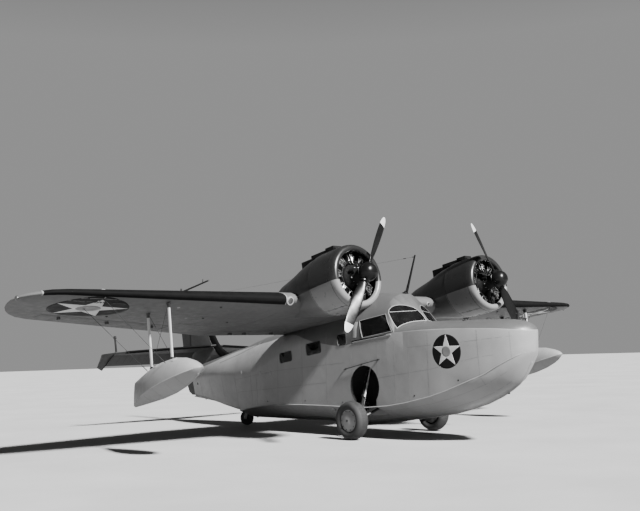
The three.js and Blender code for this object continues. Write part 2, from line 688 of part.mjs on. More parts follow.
function floatForm(sign, grow = 0) {
  const rings = FLOAT.map((row) => {
    const crown = { sideX: row.chineX, sideZ: row.chineZ, top: row.top };
    const half = [
      [0, row.keel - grow],
      [row.chineX * 0.5, row.keel - grow + 0.42 * (row.chineZ - row.keel)],
      [row.chineX + grow, row.chineZ],
      ...crownPoints(crown, grow),
    ];
    return mirroredRing(row.y, half);
  });
  return loft(rings).translate(sign * FLOAT_X, 0, 0);
}

// Engines: built along +Y from the propeller's plane, then set on the thrust line

function onThrustLine(geometry, sign) {
  return geometry.rotateX(-THRUST_TILT).translate(sign * ENGINE_X, HUB_Y, HUB_Z);
}

const NACELLE = [
  // distance behind the propeller, centre above the thrust line, half width, half height
  { d: COWL_REAR + SEAT_GAP, up: 0, wide: 590, high: 590 },
  { d: 1200, up: -5, wide: 572, high: 560 },
  { d: 1450, up: -8, wide: 528, high: 503 },
  { d: 1700, up: -18, wide: 465, high: 440 },
  { d: 2200, up: -30, wide: 340, high: 356 },
  { d: 2550, up: -75, wide: 225, high: 292 },
  { d: 2950, up: -140, wide: 80, high: 190 },
];

function nacelleForm(grow = 0) {
  const sides = 28;
  return loft(NACELLE.map(({ d, up, wide, high }) => Array.from({ length: sides }, (_, i) => {
    const angle = (2 * Math.PI * i) / sides;
    return new THREE.Vector3((wide + grow) * Math.cos(angle), d, up + (high + grow) * Math.sin(angle));
  })));
}

function cowlRing() {
  const lip = COWL_RADIUS - COWL_OPENING;
  const profile = [
    [COWL_OPENING, COWL_FRONT + 60], [COWL_OPENING + lip * 0.1, COWL_FRONT + 22],
    [COWL_OPENING + lip * 0.4, COWL_FRONT], [COWL_OPENING + lip * 0.75, COWL_FRONT + 22],
    [COWL_RADIUS - 8, COWL_FRONT + 90], [COWL_RADIUS, COWL_FRONT + 220],
    [COWL_RADIUS, COWL_REAR - 250], [COWL_RADIUS - 12, COWL_REAR],
    [COWL_RADIUS - 24, COWL_REAR], [COWL_RADIUS - 14, COWL_REAR - 260],
    [COWL_RADIUS - 16, COWL_FRONT + 210], [COWL_OPENING + 22, COWL_FRONT + 110],
    [COWL_OPENING, COWL_FRONT + 60],
  ];
  return lathe(profile, 30);
}

function engineCylinder() {
  const profile = [[0, 200], [78, 200]];
  for (let r = 310; r < 500; r += 75) {
    profile.push([76, r], [96, r + 20], [76, r + 40]);
  }
  profile.push([84, 545], [55, 566], [0, 566]);
  return lathe(profile, 8);
}

const ENGINE_PLANE = 470;

function radialEngine() {
  const caseProfile = [
    [0, 84], [88, 84], [120, 130], [150, 230], [205, 300], [262, 340],
    [262, 620], [300, 660], [300, COWL_REAR], [0, COWL_REAR],
  ];
  const parts = [lathe(caseProfile, 18)];
  for (let i = 0; i < CYLINDER_COUNT; i++) {
    const turn = (2 * Math.PI * i) / CYLINDER_COUNT;
    parts.push(engineCylinder().rotateX(Math.PI / 2).translate(0, ENGINE_PLANE, 0).rotateY(turn));
  }
  return join(...parts);
}

const BLADE = [
  // radius, chord, thickness, pitch in degrees
  { r: 60, chord: 96, thick: 88, pitch: 48 },
  { r: 170, chord: 100, thick: 70, pitch: 46 },
  { r: 330, chord: 165, thick: 42, pitch: 38 },
  { r: 560, chord: 205, thick: 27, pitch: 29 },
  { r: 830, chord: 205, thick: 19, pitch: 22 },
  { r: 1080, chord: 175, thick: 13, pitch: 17 },
  { r: 1220, chord: 125, thick: 9, pitch: 15 },
  { r: PROP_RADIUS, chord: 40, thick: 5, pitch: 14 },
];

// One blade standing along +Z in the propeller's plane.
function bladeForm() {
  const sides = 10;
  return loft(BLADE.map(({ r, chord, thick, pitch }) => {
    const turn = THREE.MathUtils.degToRad(pitch);
    return Array.from({ length: sides }, (_, i) => {
      const angle = (2 * Math.PI * i) / sides;
      const a = (chord / 2) * Math.cos(angle);
      const b = (thick / 2) * Math.sin(angle);
      return new THREE.Vector3(a * Math.cos(turn) - b * Math.sin(turn), a * Math.sin(turn) + b * Math.cos(turn), r);
    });
  }));
}

function propeller(bladeAngle) {
  const hubProfile = [[0, -215], [70, -205], [125, -170], [165, -110], [178, -40], [172, 30], [120, 60], [84, 83.6], [0, 83.6]];
  const blades = [0, Math.PI].map((half) => bladeForm().rotateY(bladeAngle + half));
  return join(lathe(hubProfile, 24), ...blades);
}

const SCOOP_STEPS = [
  // from, to, top above the thrust line
  { from: 670, to: 900, top: 690 },
  { from: 880, to: 1330, top: 660 },
  { from: 1310, to: 1640, top: 606 },
];

function airScoop() {
  const steps = SCOOP_STEPS.map(({ from, to, top }) => box(-105, 105, from, to, 380, top));
  const cowlBlock = new THREE.CylinderGeometry(COWL_RADIUS + SEAT_GAP, COWL_RADIUS + SEAT_GAP, 1400, 36)
    .translate(0, COWL_REAR - 700 + SEAT_GAP, 0);
  return cut(join(...steps), cowlBlock, nacelleForm(SEAT_GAP));
}

// Landing gear

function tyreForm(radius, halfWidth, rimRadius) {
  const profile = [
    [rimRadius, -halfWidth * 0.62], [rimRadius + 30, -halfWidth * 0.85], [radius * 0.78, -halfWidth],
    [radius * 0.92, -halfWidth * 0.82], [radius * 0.985, -halfWidth * 0.45], [radius, 0],
    [radius * 0.985, halfWidth * 0.45], [radius * 0.92, halfWidth * 0.82], [radius * 0.78, halfWidth],
    [rimRadius + 30, halfWidth * 0.85], [rimRadius, halfWidth * 0.62], [rimRadius, -halfWidth * 0.62],
  ];
  return lathe(profile, 32);
}

const HUB_RADIUS = 205;
const AXLE_RADIUS = 30;
const BORE_RADIUS = 30.7;

// The wheel's disc, domed outboard, with a blind bore from its inboard side (local +Y is outboard).
function wheelHub() {
  const r = HUB_RADIUS - 1.4;
  const profile = [
    [BORE_RADIUS, -90], [70, -90], [80, -40], [r, -84], [r, 84], [170, 100],
    [90, 122], [0, 128], [0, 60], [BORE_RADIUS, 60], [BORE_RADIUS, -90],
  ];
  return lathe(profile, 24);
}

function mainLeg(sign) {
  const axleIn = [sign * 960, 0, TYRE_RADIUS];
  const s = (x) => sign * x;
  const parts = [
    bar(axleIn, [s(TRACK_HALF + 59), 0, TYRE_RADIUS], AXLE_RADIUS, 24),
    bar([s(WELL_INNER_X + 30), -225, 640], axleIn, 26, 10),
    bar([s(WELL_INNER_X + 30), 235, 610], axleIn, 26, 10),
    bar([s(WELL_INNER_X + 30), -225, 640], [s(WELL_INNER_X + 30), 235, 610], 24, 10),
    bar([s(WELL_INNER_X + 55), 190, 1270], [s(760), 70, 800], 38, 12),
    bar([s(760), 70, 800], axleIn, 27, 12),
  ];
  const lugs = [[-225, 640], [235, 610], [190, 1270]].map(([y, z]) => {
    const x = [s(WELL_INNER_X + SEAT_GAP), s(WELL_INNER_X + 75)].sort((a, b) => a - b);
    return box(x[0], x[1], y - 40, y + 40, z - 45, z + 45);
  });
  return join(...parts, ...lugs);
}

function casterPlace(geometry) {
  return geometry
    .translate(0, CASTER_TRAIL, 0)
    .rotateZ(CASTER_SWING)
    .translate(0, TAIL_WHEEL_Y - CASTER_TRAIL, 0);
}

function tailFork() {
  const z = TAIL_WHEEL_RADIUS;
  const parts = [
    bar([0, -CASTER_TRAIL, 400], [0, -CASTER_TRAIL, 700 - SEAT_GAP], 32, 20),
    box(-82, 82, -CASTER_TRAIL - 36, -CASTER_TRAIL + 50, 385, 420),
    bar([-95, 0, z], [95, 0, z], 16, 20),
  ];
  [-1, 1].forEach((side) => {
    parts.push(prismX(side > 0 ? 66 : -82, side > 0 ? 82 : -66, [
      [-CASTER_TRAIL - 30, 400], [-28, z - 26], [28, z - 26], [34, z + 30], [-CASTER_TRAIL + 50, 400],
    ]));
  });
  return join(...parts);
}

function tailWheel() {
  const r = TAIL_WHEEL_RADIUS;
  const profile = [
    [16.6, -58], [40, -58], [50, -38], [105, -42], [r * 0.78, -60], [r * 0.95, -40],
    [r, 0], [r * 0.95, 40], [r * 0.78, 60], [105, 42], [50, 38], [40, 58], [16.6, 58], [16.6, -58],
  ];
  return lathe(profile, 22).rotateZ(Math.PI / 2).translate(0, 0, r);
}

const TAIL_WELL = box(-175, 175, 4850, 5300, 200, 700);

// The assembly

const aircraft = new THREE.Group();

function add(name, shape, material) {
  const geometry = shape.isBufferGeometry ? geometryOf(solidOf(shape)) : geometryOf(shape);
  const mesh = new THREE.Mesh(geometry, material);
  mesh.name = name;
  aircraft.add(mesh);
}

const rearHalf = (y) => box(-2000, 2000, y, 9000, -500, 4000);
const frontHalf = (y) => box(-2000, 2000, -5000, y, -500, 4000);
const wingCut = wingCutter();
const hullSolid = solidOf(hullForm());

function sillPrism(y1, y2, below) {
  const z = (y) => SILL_Z + SILL_SLOPE * y;
  const far = below ? -500 : 4000;
  return prismX(-2000, 2000, [[y1, z(y1)], [y2, z(y2)], [y2, far], [y1, far]]);
}

// The hollow of the cabin and cockpit, which ends one wall's thickness behind the windscreen.
function cabinRoom(inset = 0) {
  return cut(solidOf(cabinSpace(inset)), ...SIDES.map(({ sign }) => screenCut(sign, WALL + inset)));
}

function cabinHollow(inset = 0) {
  return cut(cabinRoom(inset), ...SIDES.map(({ sign }) => wheelWell(sign, WELL_WALL + inset)));
}

// Everything below the cabin floor, or below a level a little off it.
function belowFloor(rise = 0) {
  const first = CABIN_SPACE[0];
  const last = CABIN_SPACE[CABIN_SPACE.length - 1];
  const stops = [{ ...first, y: -2000 }, ...CABIN_SPACE, { ...last, y: 5000 }];
  return loft(stops.map(({ y, floor }) => {
    const corners = [[-900, -500], [900, -500], [900, floor + rise], [-900, floor + rise]];
    return corners.map(([x, z]) => new THREE.Vector3(x, y, z));
  }));
}

function bowHull() {
  const lidFootprint = box(-HATCH.halfWidth, HATCH.halfWidth, HATCH.y1, HATCH.y2, 1900, 2400);
  const lowDeck = solidOf(hullForm().translate(0, 0, -HATCH.thickness - SEAT_GAP));
  const recess = solidOf(lidFootprint).subtract(lowDeck);
  const l = HATCH.ledge;
  const hole = box(-HATCH.halfWidth + l, HATCH.halfWidth - l, HATCH.y1 + l, HATCH.y2 - l, 1500, 2400);
  const hold = box(-330, 330, -2750, -1400, 1150, 2110);
  return cut(hullSolid, rearHalf(BOW_JOINT_Y - SEAT_GAP), hold, hole).subtract(recess);
}

function bowHatch() {
  const gap = 6;
  const footprint = box(-HATCH.halfWidth + gap, HATCH.halfWidth - gap, HATCH.y1 + gap, HATCH.y2 - gap, 1900, 2400);
  const lowDeck = solidOf(hullForm().translate(0, 0, -HATCH.thickness));
  return solidOf(footprint).intersect(hullSolid).subtract(lowDeck);
}

function doorPrism(grow) {
  return box(0, 1200, DOOR.y1 - grow, DOOR.y2 + grow, DOOR.z1 - grow, DOOR.z2 + grow);
}

// The cabin floor between the walls, down to well inside the bottom.
function floorPlate(grow = 0) {
  const last = CABIN_SPACE.length - 1;
  return loft(CABIN_SPACE.map(({ y, floor, floorX }, i) => {
    const half = floorX - WALL / 2 - SEAT_GAP + grow;
    const inward = i === 0 ? 1 : i === last ? -1 : 0;
    const top = floor + grow;
    const corners = [[-half, floor - 100], [half, floor - 100], [half, top], [-half, top]];
    return corners.map(([x, z]) => new THREE.Vector3(x, y + inward * (SEAT_GAP - grow), z));
  }));
}

// The planing bottom with the floor on it, and the wheel wells cut into it.
function hullBottom() {
  return hullSolid.intersect(solidOf(belowFloor(-WALL_REBATE)).add(solidOf(floorPlate())))
    .subtract(join(frontHalf(BOW_JOINT_Y), rearHalf(TAIL_JOINT_Y), wheelWell(-1), wheelWell(1)));
}

// The hull's walls above the floor, between two places along it.
function hullWalls(front, rear) {
  const windows = SIDES.flatMap(({ sign }) => CABIN_WINDOWS.map((window) => cabinWindowPrism(sign, window)));
  const sideWindows = SIDES.map(({ sign }) => sideWindowPrism(sign));
  return cut(hullSolid, frontHalf(front), rearHalf(rear), belowFloor(SEAT_GAP - WALL_REBATE), wingCut,
    ...windows, ...sideWindows, wheelWell(-1), wheelWell(1), floorPlate(SEAT_GAP)).subtract(cabinRoom());
}

function cabinHull() {
  const doorRecess = solidOf(doorPrism(6)).subtract(solidOf(hullForm(-DOOR.thickness - SEAT_GAP)));
  return hullWalls(COCKPIT_JOINT_Y, TAIL_JOINT_Y).subtract(solidOf(doorPrism(-DOOR.ledge))).subtract(doorRecess);
}

// The pan around a wheel well, which stands on the floor against the side.
function wellPan(sign) {
  return solidOf(wheelWell(sign, WELL_WALL)).intersect(solidOf(cabinSpace(SEAT_GAP)))
    .subtract(solidOf(wheelWell(sign)));
}

function cabinDoor() {
  const inner = solidOf(hullForm(-DOOR.thickness));
  return hullSolid.intersect(solidOf(doorPrism(0))).subtract(inner);
}

function tailHull() {
  const lean = new THREE.Vector3(0, 1, -RUDDER_HINGE_LEAN).normalize();
  const end = new THREE.Vector3(0, finRearY(RUDDER_HINGE_FOOT[1]), RUDDER_HINGE_FOOT[1]);
  return cut(hullSolid, frontHalf(TAIL_JOINT_Y + SEAT_GAP), TAIL_WELL, halfSpace(end, lean));
}

function canopyShell() {
  const form = solidOf(canopyForm());
  const rearBelow = box(-2000, 2000, CANOPY_REAR_Y, 3000, 0, 2600);
  const panes = SIDES.flatMap(({ sign }) => [screenCut(sign), screenPrism(sign, -120, 60), sideWindowPrism(sign)]);
  const deck = hullForm(SEAT_GAP);
  return cut(form, sillPrism(-3000, 3000, true), ...panes, deck, deck.clone().translate(0, SEAT_GAP, 0),
    rearBelow, wingCut).subtract(cabinHollow());
}

function screenGlass(sign) {
  return solidOf(screenPrism(sign, -16, -10, SEAT_GAP));
}

function skinPane(form, grownForm, prism) {
  return solidOf(form).subtract(solidOf(grownForm)).intersect(solidOf(prism));
}

add('hull_bow', bowHull(), MATERIAL.hull);
add('hull_bottom', hullBottom(), MATERIAL.hull);
add('hull_cockpit', hullWalls(BOW_JOINT_Y, COCKPIT_JOINT_Y - SEAT_GAP), MATERIAL.hull);
add('hull_cabin', cabinHull(), MATERIAL.hull);
for (const { name, sign } of SIDES) add(`wheel_well_${name}`, wellPan(sign), MATERIAL.hull);
add('hull_tail', tailHull(), MATERIAL.hull);
add('bow_hatch', bowHatch(), MATERIAL.deck);
add('cabin_door', cabinDoor(), MATERIAL.hull);
add('cockpit_canopy', canopyShell(), MATERIAL.deck);
for (const { name, sign } of SIDES) {
  add(`windscreen_glass_${name}`, screenGlass(sign), MATERIAL.glass);
  add(`cockpit_side_glass_${name}`,
    skinPane(canopyForm(-10), canopyForm(-16), sideWindowPrism(sign, SEAT_GAP)), MATERIAL.glass);
  for (const window of CABIN_WINDOWS) {
    add(`cabin_window_${window.name}_${name}`,
      skinPane(hullForm(-10), hullForm(-16), cabinWindowPrism(sign, window, SEAT_GAP)), MATERIAL.glass);
  }
}

function outerWing(sign) {
  const panel = solidOf(wingLoft(OUTER_STATIONS.map((x) => sign * x)));
  return cut(panel, hingedBay(sign, AILERON_SPAN, AILERON_HINGE));
}

function centreWing() {
  const edge = WING_BREAK - SEAT_GAP / 2;
  return cut(solidOf(wingLoft([-edge, edge])), ...SIDES.map(({ sign }) => hingedBay(sign, FLAP_SPAN, FLAP_HINGE)));
}

add('wing_centre', centreWing(), MATERIAL.wing);
for (const { name, sign } of SIDES) {
  add(`wing_outer_${name}`, outerWing(sign), MATERIAL.wing);
  add(`flap_${name}`, hingedPanel(sign, FLAP_SPAN, FLAP_HINGE), MATERIAL.wing);
  add(`aileron_${name}`, hingedPanel(sign, AILERON_SPAN, AILERON_HINGE), MATERIAL.wing);
}

const BLADE_ANGLE = { starboard: 0.563, port: -0.425 };

for (const { name, sign } of SIDES) {
  const nacelle = onThrustLine(nacelleForm(), sign);
  add(`nacelle_${name}`, cut(solidOf(nacelle), wingCut), MATERIAL.dark);
  add(`cowl_${name}`, onThrustLine(cowlRing(), sign), MATERIAL.dark);
  add(`engine_${name}`, onThrustLine(geometryOf(radialEngine()), sign), MATERIAL.engine);
  add(`propeller_${name}`, onThrustLine(geometryOf(propeller(BLADE_ANGLE[name])), sign), MATERIAL.black);
  add(`air_scoop_${name}`, onThrustLine(geometryOf(airScoop()), sign), MATERIAL.black);
}

const finSolid = loft(FIN.map(finRing));
add('fin', cut(solidOf(finSolid), hullForm(SEAT_GAP)), MATERIAL.wing);

// The rudder, with the round knuckles about its hinge line that bear on the fin and hull.
function rudder() {
  const radius = (RUDDER_NOSE + MOVING_GAP) * Math.cos(Math.atan(RUDDER_HINGE_LEAN)) - SEAT_GAP;
  const halfDepth = 22;
  const knuckles = RUDDER_KNUCKLES.map((z) => bar(
    [0, rudderHingeY(z - halfDepth), z - halfDepth],
    [0, rudderHingeY(z + halfDepth), z + halfDepth],
    radius, 24,
  ));
  return join(loft(RUDDER.map(rudderRing)), ...knuckles);
}
add('rudder', rudder(), MATERIAL.wing);

function tailplane(sign) {
  const fin = loft(FIN.map((row) => finRing({ ...row, half: row.half + SEAT_GAP, le: row.le - SEAT_GAP })));
  const panel = loft(TAILPLANE.map((row) => tailplaneRing(sign, row)));
  const mast = bar([sign * 2500, 7050, 1800], [sign * 2500, 7130, 2240], 12, 10);
  return cut(join(panel, mast), fin);
}

// The elevator, with a pin at its outer end in the tailplane's tip.
function elevator(sign) {
  const end = ELEVATOR_SPAN[1];
  const pin = hingePin(sign, end - 30, TIP_JOINT - 1 - SEAT_GAP, elevatorHinge);
  return join(loft(ELEVATOR_SPAN.map((ax) => elevatorRing(sign, ax))), pin);
}

for (const { name, sign } of SIDES) {
  add(`tailplane_${name}`, tailplane(sign), MATERIAL.wing);
  add(`elevator_${name}`, elevator(sign), MATERIAL.wing);
}

// Float struts, with their crossed wires and the wires that brace them sideways
const STRUTS = [
  { top: [0, 380, 2790], foot: [0, 240, 1500] },
  { top: [0, 1090, 2640], foot: [0, 920, 1350] },
];
const WIRE_RADIUS = 5;
const FLOAT_WIRES = [
  // from, to, and how far outboard the upper end stands
  { from: [0, 935, 1500], to: [0, 366, 2600], outboard: 0 },
  { from: [0, 260, 1690], to: [0, 1072, 2480], outboard: 0 },
  { from: [0, 265, 1730], to: [0, 370, 2760], outboard: 1150 },
  { from: [0, 935, 1540], to: [0, 1080, 2620], outboard: 1150 },
];

function floatStruts(sign) {
  const at = ([x, y, z], out = 0) => [sign * (FLOAT_X + x + out), y, z];
  const parts = STRUTS.map(({ top, foot }) => strut(at(foot), at(top), 17, 42));
  for (const { from, to, outboard } of FLOAT_WIRES) {
    parts.push(bar(at(from), at(to, outboard), WIRE_RADIUS, 6));
  }
  return cut(join(...parts), wingCut, floatForm(sign, SEAT_GAP));
}

for (const { name, sign } of SIDES) {
  add(`float_${name}`, floatForm(sign), MATERIAL.hull);
  add(`float_struts_${name}`, floatStruts(sign), MATERIAL.bright);
}

for (const { name, sign } of SIDES) {
  const outboard = (geometry) => geometry.rotateZ(-sign * Math.PI / 2).translate(sign * TRACK_HALF, 0, TYRE_RADIUS);
  add(`main_gear_leg_${name}`, mainLeg(sign), MATERIAL.bright);
  add(`main_tyre_${name}`, outboard(tyreForm(TYRE_RADIUS, TYRE_HALF_WIDTH, HUB_RADIUS)), MATERIAL.rubber);
  add(`main_hub_${name}`, outboard(wheelHub()), MATERIAL.hub);
}
add('tail_fork', casterPlace(geometryOf(tailFork())), MATERIAL.metal);
add('tail_wheel', casterPlace(tailWheel()), MATERIAL.rubber);

// Small outside fittings

add('antenna_mast', cut(join(bar([0, -430, 2700], [0, -760, 3580], 24, 10, 13)), canopyForm(SEAT_GAP)), MATERIAL.black);

function pitotHead() {
  const parts = [
    bar([-4200, 1240, 2650], [-4200, 1240, 2945], 16, 10),
    bar([-4200, 1240, 2875], [-4200, 320, 3022], 17, 10, 14),
    bar([-4200, 520, 2985], [-4200, 505, 3060], 9, 8),
  ];
  return cut(join(...parts), wingCut);
}
add('pitot_head', pitotHead(), MATERIAL.metal);

// Cabin furnishing seen through the glass

function seat(x, y, floor) {
  const pan = box(x - 180, x + 180, y - 230, y + 200, floor + 300, floor + 400);
  const back = box(x - 180, x + 180, y + 140, y + 220, floor + 300, floor + 960);
  const stand = box(x - 130, x + 130, y - 130, y + 130, floor - 60, floor + 320);
  return join(pan, back, stand);
}

const furnishingSpace = cabinHollow(SEAT_GAP);
for (const { name, sign } of SIDES) {
  add(`pilot_seat_${name}`, seat(sign * 210, -460, 930).intersect(furnishingSpace), MATERIAL.leather);
}

const instrumentPanel = solidOf(box(-740, 740, -760, -735, 1620, 2130)).intersect(furnishingSpace);
add('instrument_panel', instrumentPanel, MATERIAL.black);

aircraft.position.y = -MID_Y;

export default aircraft;
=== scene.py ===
# Dressed model of a twin-engined flying boat that stands on its landing gear.
# Metres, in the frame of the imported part: nose -Y, starboard -X, ground at z = 0.

import json
import math

import bmesh
import bpy
from mathutils import Matrix, Vector
from mathutils.bvhtree import BVHTree


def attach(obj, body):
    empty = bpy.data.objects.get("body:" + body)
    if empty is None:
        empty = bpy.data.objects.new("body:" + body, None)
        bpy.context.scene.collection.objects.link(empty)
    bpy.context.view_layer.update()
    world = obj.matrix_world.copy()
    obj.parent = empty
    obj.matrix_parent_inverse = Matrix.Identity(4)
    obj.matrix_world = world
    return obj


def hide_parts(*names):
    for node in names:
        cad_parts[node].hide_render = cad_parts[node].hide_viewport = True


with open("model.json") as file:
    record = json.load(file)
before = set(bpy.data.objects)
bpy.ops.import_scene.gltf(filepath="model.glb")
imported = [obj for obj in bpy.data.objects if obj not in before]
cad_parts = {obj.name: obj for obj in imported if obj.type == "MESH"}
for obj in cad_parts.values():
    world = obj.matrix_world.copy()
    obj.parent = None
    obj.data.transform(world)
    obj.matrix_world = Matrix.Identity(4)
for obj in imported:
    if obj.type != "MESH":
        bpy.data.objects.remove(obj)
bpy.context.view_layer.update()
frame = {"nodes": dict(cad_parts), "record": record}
NODES = frame["nodes"]

# The source measures lengths from the main axle, which lies at this y here
AXLE_Y = -2.315
SIDES = (("starboard", -1), ("port", 1))
X, Y, Z = (1, 0, 0), (0, 1, 0), (0, 0, 1)
FORWARD, DOWN = (0, -1, 0), (0, 0, -1)


def body_of(node):
    for body, members in frame["record"]["behaviour"]["bodies"].items():
        if node in members:
            return body
    raise KeyError(node)


# Materials


class Nodes:
    """A small builder for a material's node tree."""

    def __init__(self, name):
        self.material = bpy.data.materials.new(name)
        self.material.use_nodes = True
        self.tree = self.material.node_tree
        self.coords = self.new("TexCoord", {})["Object"]

    def fill(self, node, sockets):
        """Sets a node's sockets to values, or links them to the outputs of other nodes."""
        for key, value in sockets.items():
            if hasattr(value, "is_output"):
                self.tree.links.new(value, node.inputs[key])
            else:
                node.inputs[key].default_value = value
        return node.outputs

    def new(self, kind, sockets, **settings):
        node = self.tree.nodes.new(f"ShaderNode{kind}")
        for key, value in settings.items():
            setattr(node, key, value)
        return self.fill(node, sockets)

    def done(self, sockets):
        self.fill(self.tree.nodes["Principled BSDF"], sockets)
        return self.material

    def maths(self, operation, *values):
        return self.new("Math", dict(enumerate(values)), operation=operation)[0]

    def stretched(self, scale):
        return self.new("Mapping", {"Vector": self.coords, "Scale": scale})[0]

    def noise(self, scale, detail, rough, at=None):
        return self.new("TexNoise", {"Vector": self.coords if at is None else at, "Scale": scale,
                                     "Detail": detail, "Roughness": rough})["Fac"]

    def spread(self, value, low, high, out_low=0.0, out_high=1.0):
        return self.new("MapRange", {"Value": value, "From Min": low, "From Max": high,
                                     "To Min": out_low, "To Max": out_high})["Result"]

    def mix(self, factor, a, b):
        return self.new("Mix", {"Factor": factor, "A": a, "B": b}, data_type="RGBA")["Result"]

    def bump(self, height, strength, distance, **base):
        sockets = {"Height": height, "Strength": strength, "Distance": distance, **base}
        return self.new("Bump", sockets)["Normal"]


def grey(value, warm=0.0):
    return (value * (1 + warm), value, value * (1 - warm), 1)


def painted(name, tone, rough=0.45, streak=0.12, coat=0.0, mask=None, other=None, shine=0.3):
    """Weathered aircraft paint: patchy tone, streaks down the sides, fine dust and a wavy skin."""
    n = Nodes(name)
    dust = n.noise(46, 3, 0.7)
    faded = 1 - streak * 1.6
    base, low = grey(tone), grey(tone * faded)
    if mask is not None:
        edge = mask(n)
        base = n.mix(edge, base, grey(other))
        low = n.mix(edge, low, grey(other * faded))
    tones = n.mix(n.spread(n.noise(1.3, 5, 0.6), 0.36, 0.72), base, low)
    streaks = n.noise(2.4, 5, 0.62, n.stretched((1.6, 1.6, 0.22)))
    tones = n.mix(n.spread(streaks, 0.56, 0.8, 0, 0.5), tones, low)
    tones = n.mix(n.spread(dust, 0.62, 0.8, 0, 0.25), tones, grey(tone * 1.15 + 0.02))
    ripple = n.bump(n.noise(2.8, 2, 0.5), 0.35, 0.012)
    return n.done({"Base Color": tones, "Specular IOR Level": shine,
                   "Coat Weight": coat, "Coat Roughness": 0.3,
                   "Roughness": n.spread(n.noise(7, 5, 0.65), 0.3, 0.75, rough - 0.08, rough + 0.12),
                   "Normal": n.bump(dust, 0.1, 0.0006, Normal=ripple)})


def metal(name, tone, rough):
    """Metal with fine brushed grain and stains."""
    n = Nodes(name)
    grain = n.noise(3, 4, 0.6, n.stretched((60, 60, 2)))
    stain = n.spread(n.noise(9, 5, 0.65), 0.4, 0.75)
    return n.done({"Base Color": n.mix(stain, grey(tone), grey(tone * 0.6)), "Metallic": 0.85,
                   "Roughness": n.spread(grain, 0.3, 0.7, rough - 0.08, rough + 0.15),
                   "Normal": n.bump(grain, 0.12, 0.0008)})


def rubber(name, tone, rough=0.75, grain=160, shine=0.25):
    n = Nodes(name)
    scuff = n.noise(6, 6, 0.7)
    return n.done({"Base Color": n.mix(n.spread(scuff, 0.42, 0.75), grey(tone), grey(tone * 1.7 + 0.001)),
                   "Roughness": n.spread(scuff, 0.3, 0.7, rough - 0.12, rough + 0.12),
                   "Specular IOR Level": shine, "Normal": n.bump(n.noise(grain, 3, 0.6), 0.25, 0.0008)})


def glass(name, tone, alpha):
    """Window glass with faint smears."""
    n = Nodes(name)
    smear = n.noise(5, 5, 0.6)
    return n.done({"Base Color": n.mix(n.spread(smear, 0.4, 0.75), grey(tone), grey(tone * 2.5)),
                   "Roughness": n.spread(smear, 0.3, 0.7, 0.02, 0.06), "Alpha": alpha, "IOR": 1.5})


def leather(name, tone):
    n = Nodes(name)
    cells = n.new("TexVoronoi", {"Vector": n.coords, "Scale": 220})["Distance"]
    wear = n.noise(5, 5, 0.6)
    return n.done({"Base Color": n.mix(n.spread(wear, 0.42, 0.75), grey(tone, 0.05), grey(tone * 1.8, 0.05)),
                   "Roughness": n.spread(wear, 0.3, 0.7, 0.45, 0.65), "Normal": n.bump(cells, 0.3, 0.0008)})


LIGHT, DECK, DARK = 0.155, 0.05, 0.008

# Height of the edge between the dark deck and the light side, by distance along the hull
DECK_EDGE = ((-6.2, 1.955), (-5.81, 1.98), (-5.21, 2.03), (-3.11, 2.035), (-2.31, 1.955), (-1.71, 1.83),
             (-0.91, 1.9), (0.29, 2.12), (1.19, 2.0), (2.59, 1.83), (4.39, 1.45), (5.59, 1.3))
DECK_EDGE_TOP = 4
# A place on the edge between the dark top and the light belly of an engine's covers, and its slope
COWL_EDGE_Y, COWL_EDGE_Z, COWL_EDGE_SLOPE = -3.445, 2.985, -0.192
EDGE_BLUR = 0.003


def above_deck_edge(n):
    """1 above the deck edge, from a curve of height against y."""
    x, y, z = n.new("SeparateXYZ", {0: n.coords})
    curve = n.tree.nodes.new("ShaderNodeFloatCurve")
    low, high = DECK_EDGE[0][0], DECK_EDGE[-1][0]
    points = curve.mapping.curves[0].points
    while len(points) < len(DECK_EDGE):
        points.new(0.5, 0.5)
    for point, (at, height) in zip(points, DECK_EDGE):
        point.location = ((at - low) / (high - low), height / DECK_EDGE_TOP)
        point.handle_type = "AUTO"
    curve.mapping.update()
    share = n.fill(curve, {"Value": n.spread(y, low, high)})[0]
    rise = n.maths("SUBTRACT", z, n.maths("MULTIPLY", share, DECK_EDGE_TOP))
    return n.spread(rise, -EDGE_BLUR, EDGE_BLUR)


def above_cowl_edge(n):
    """1 above the line that parts the dark top of an engine's covers from their light belly."""
    x, y, z = n.new("SeparateXYZ", {0: n.coords})
    edge = n.maths("MULTIPLY_ADD", n.maths("SUBTRACT", y, COWL_EDGE_Y), COWL_EDGE_SLOPE, COWL_EDGE_Z)
    return n.spread(n.maths("SUBTRACT", z, edge), -EDGE_BLUR, EDGE_BLUR)


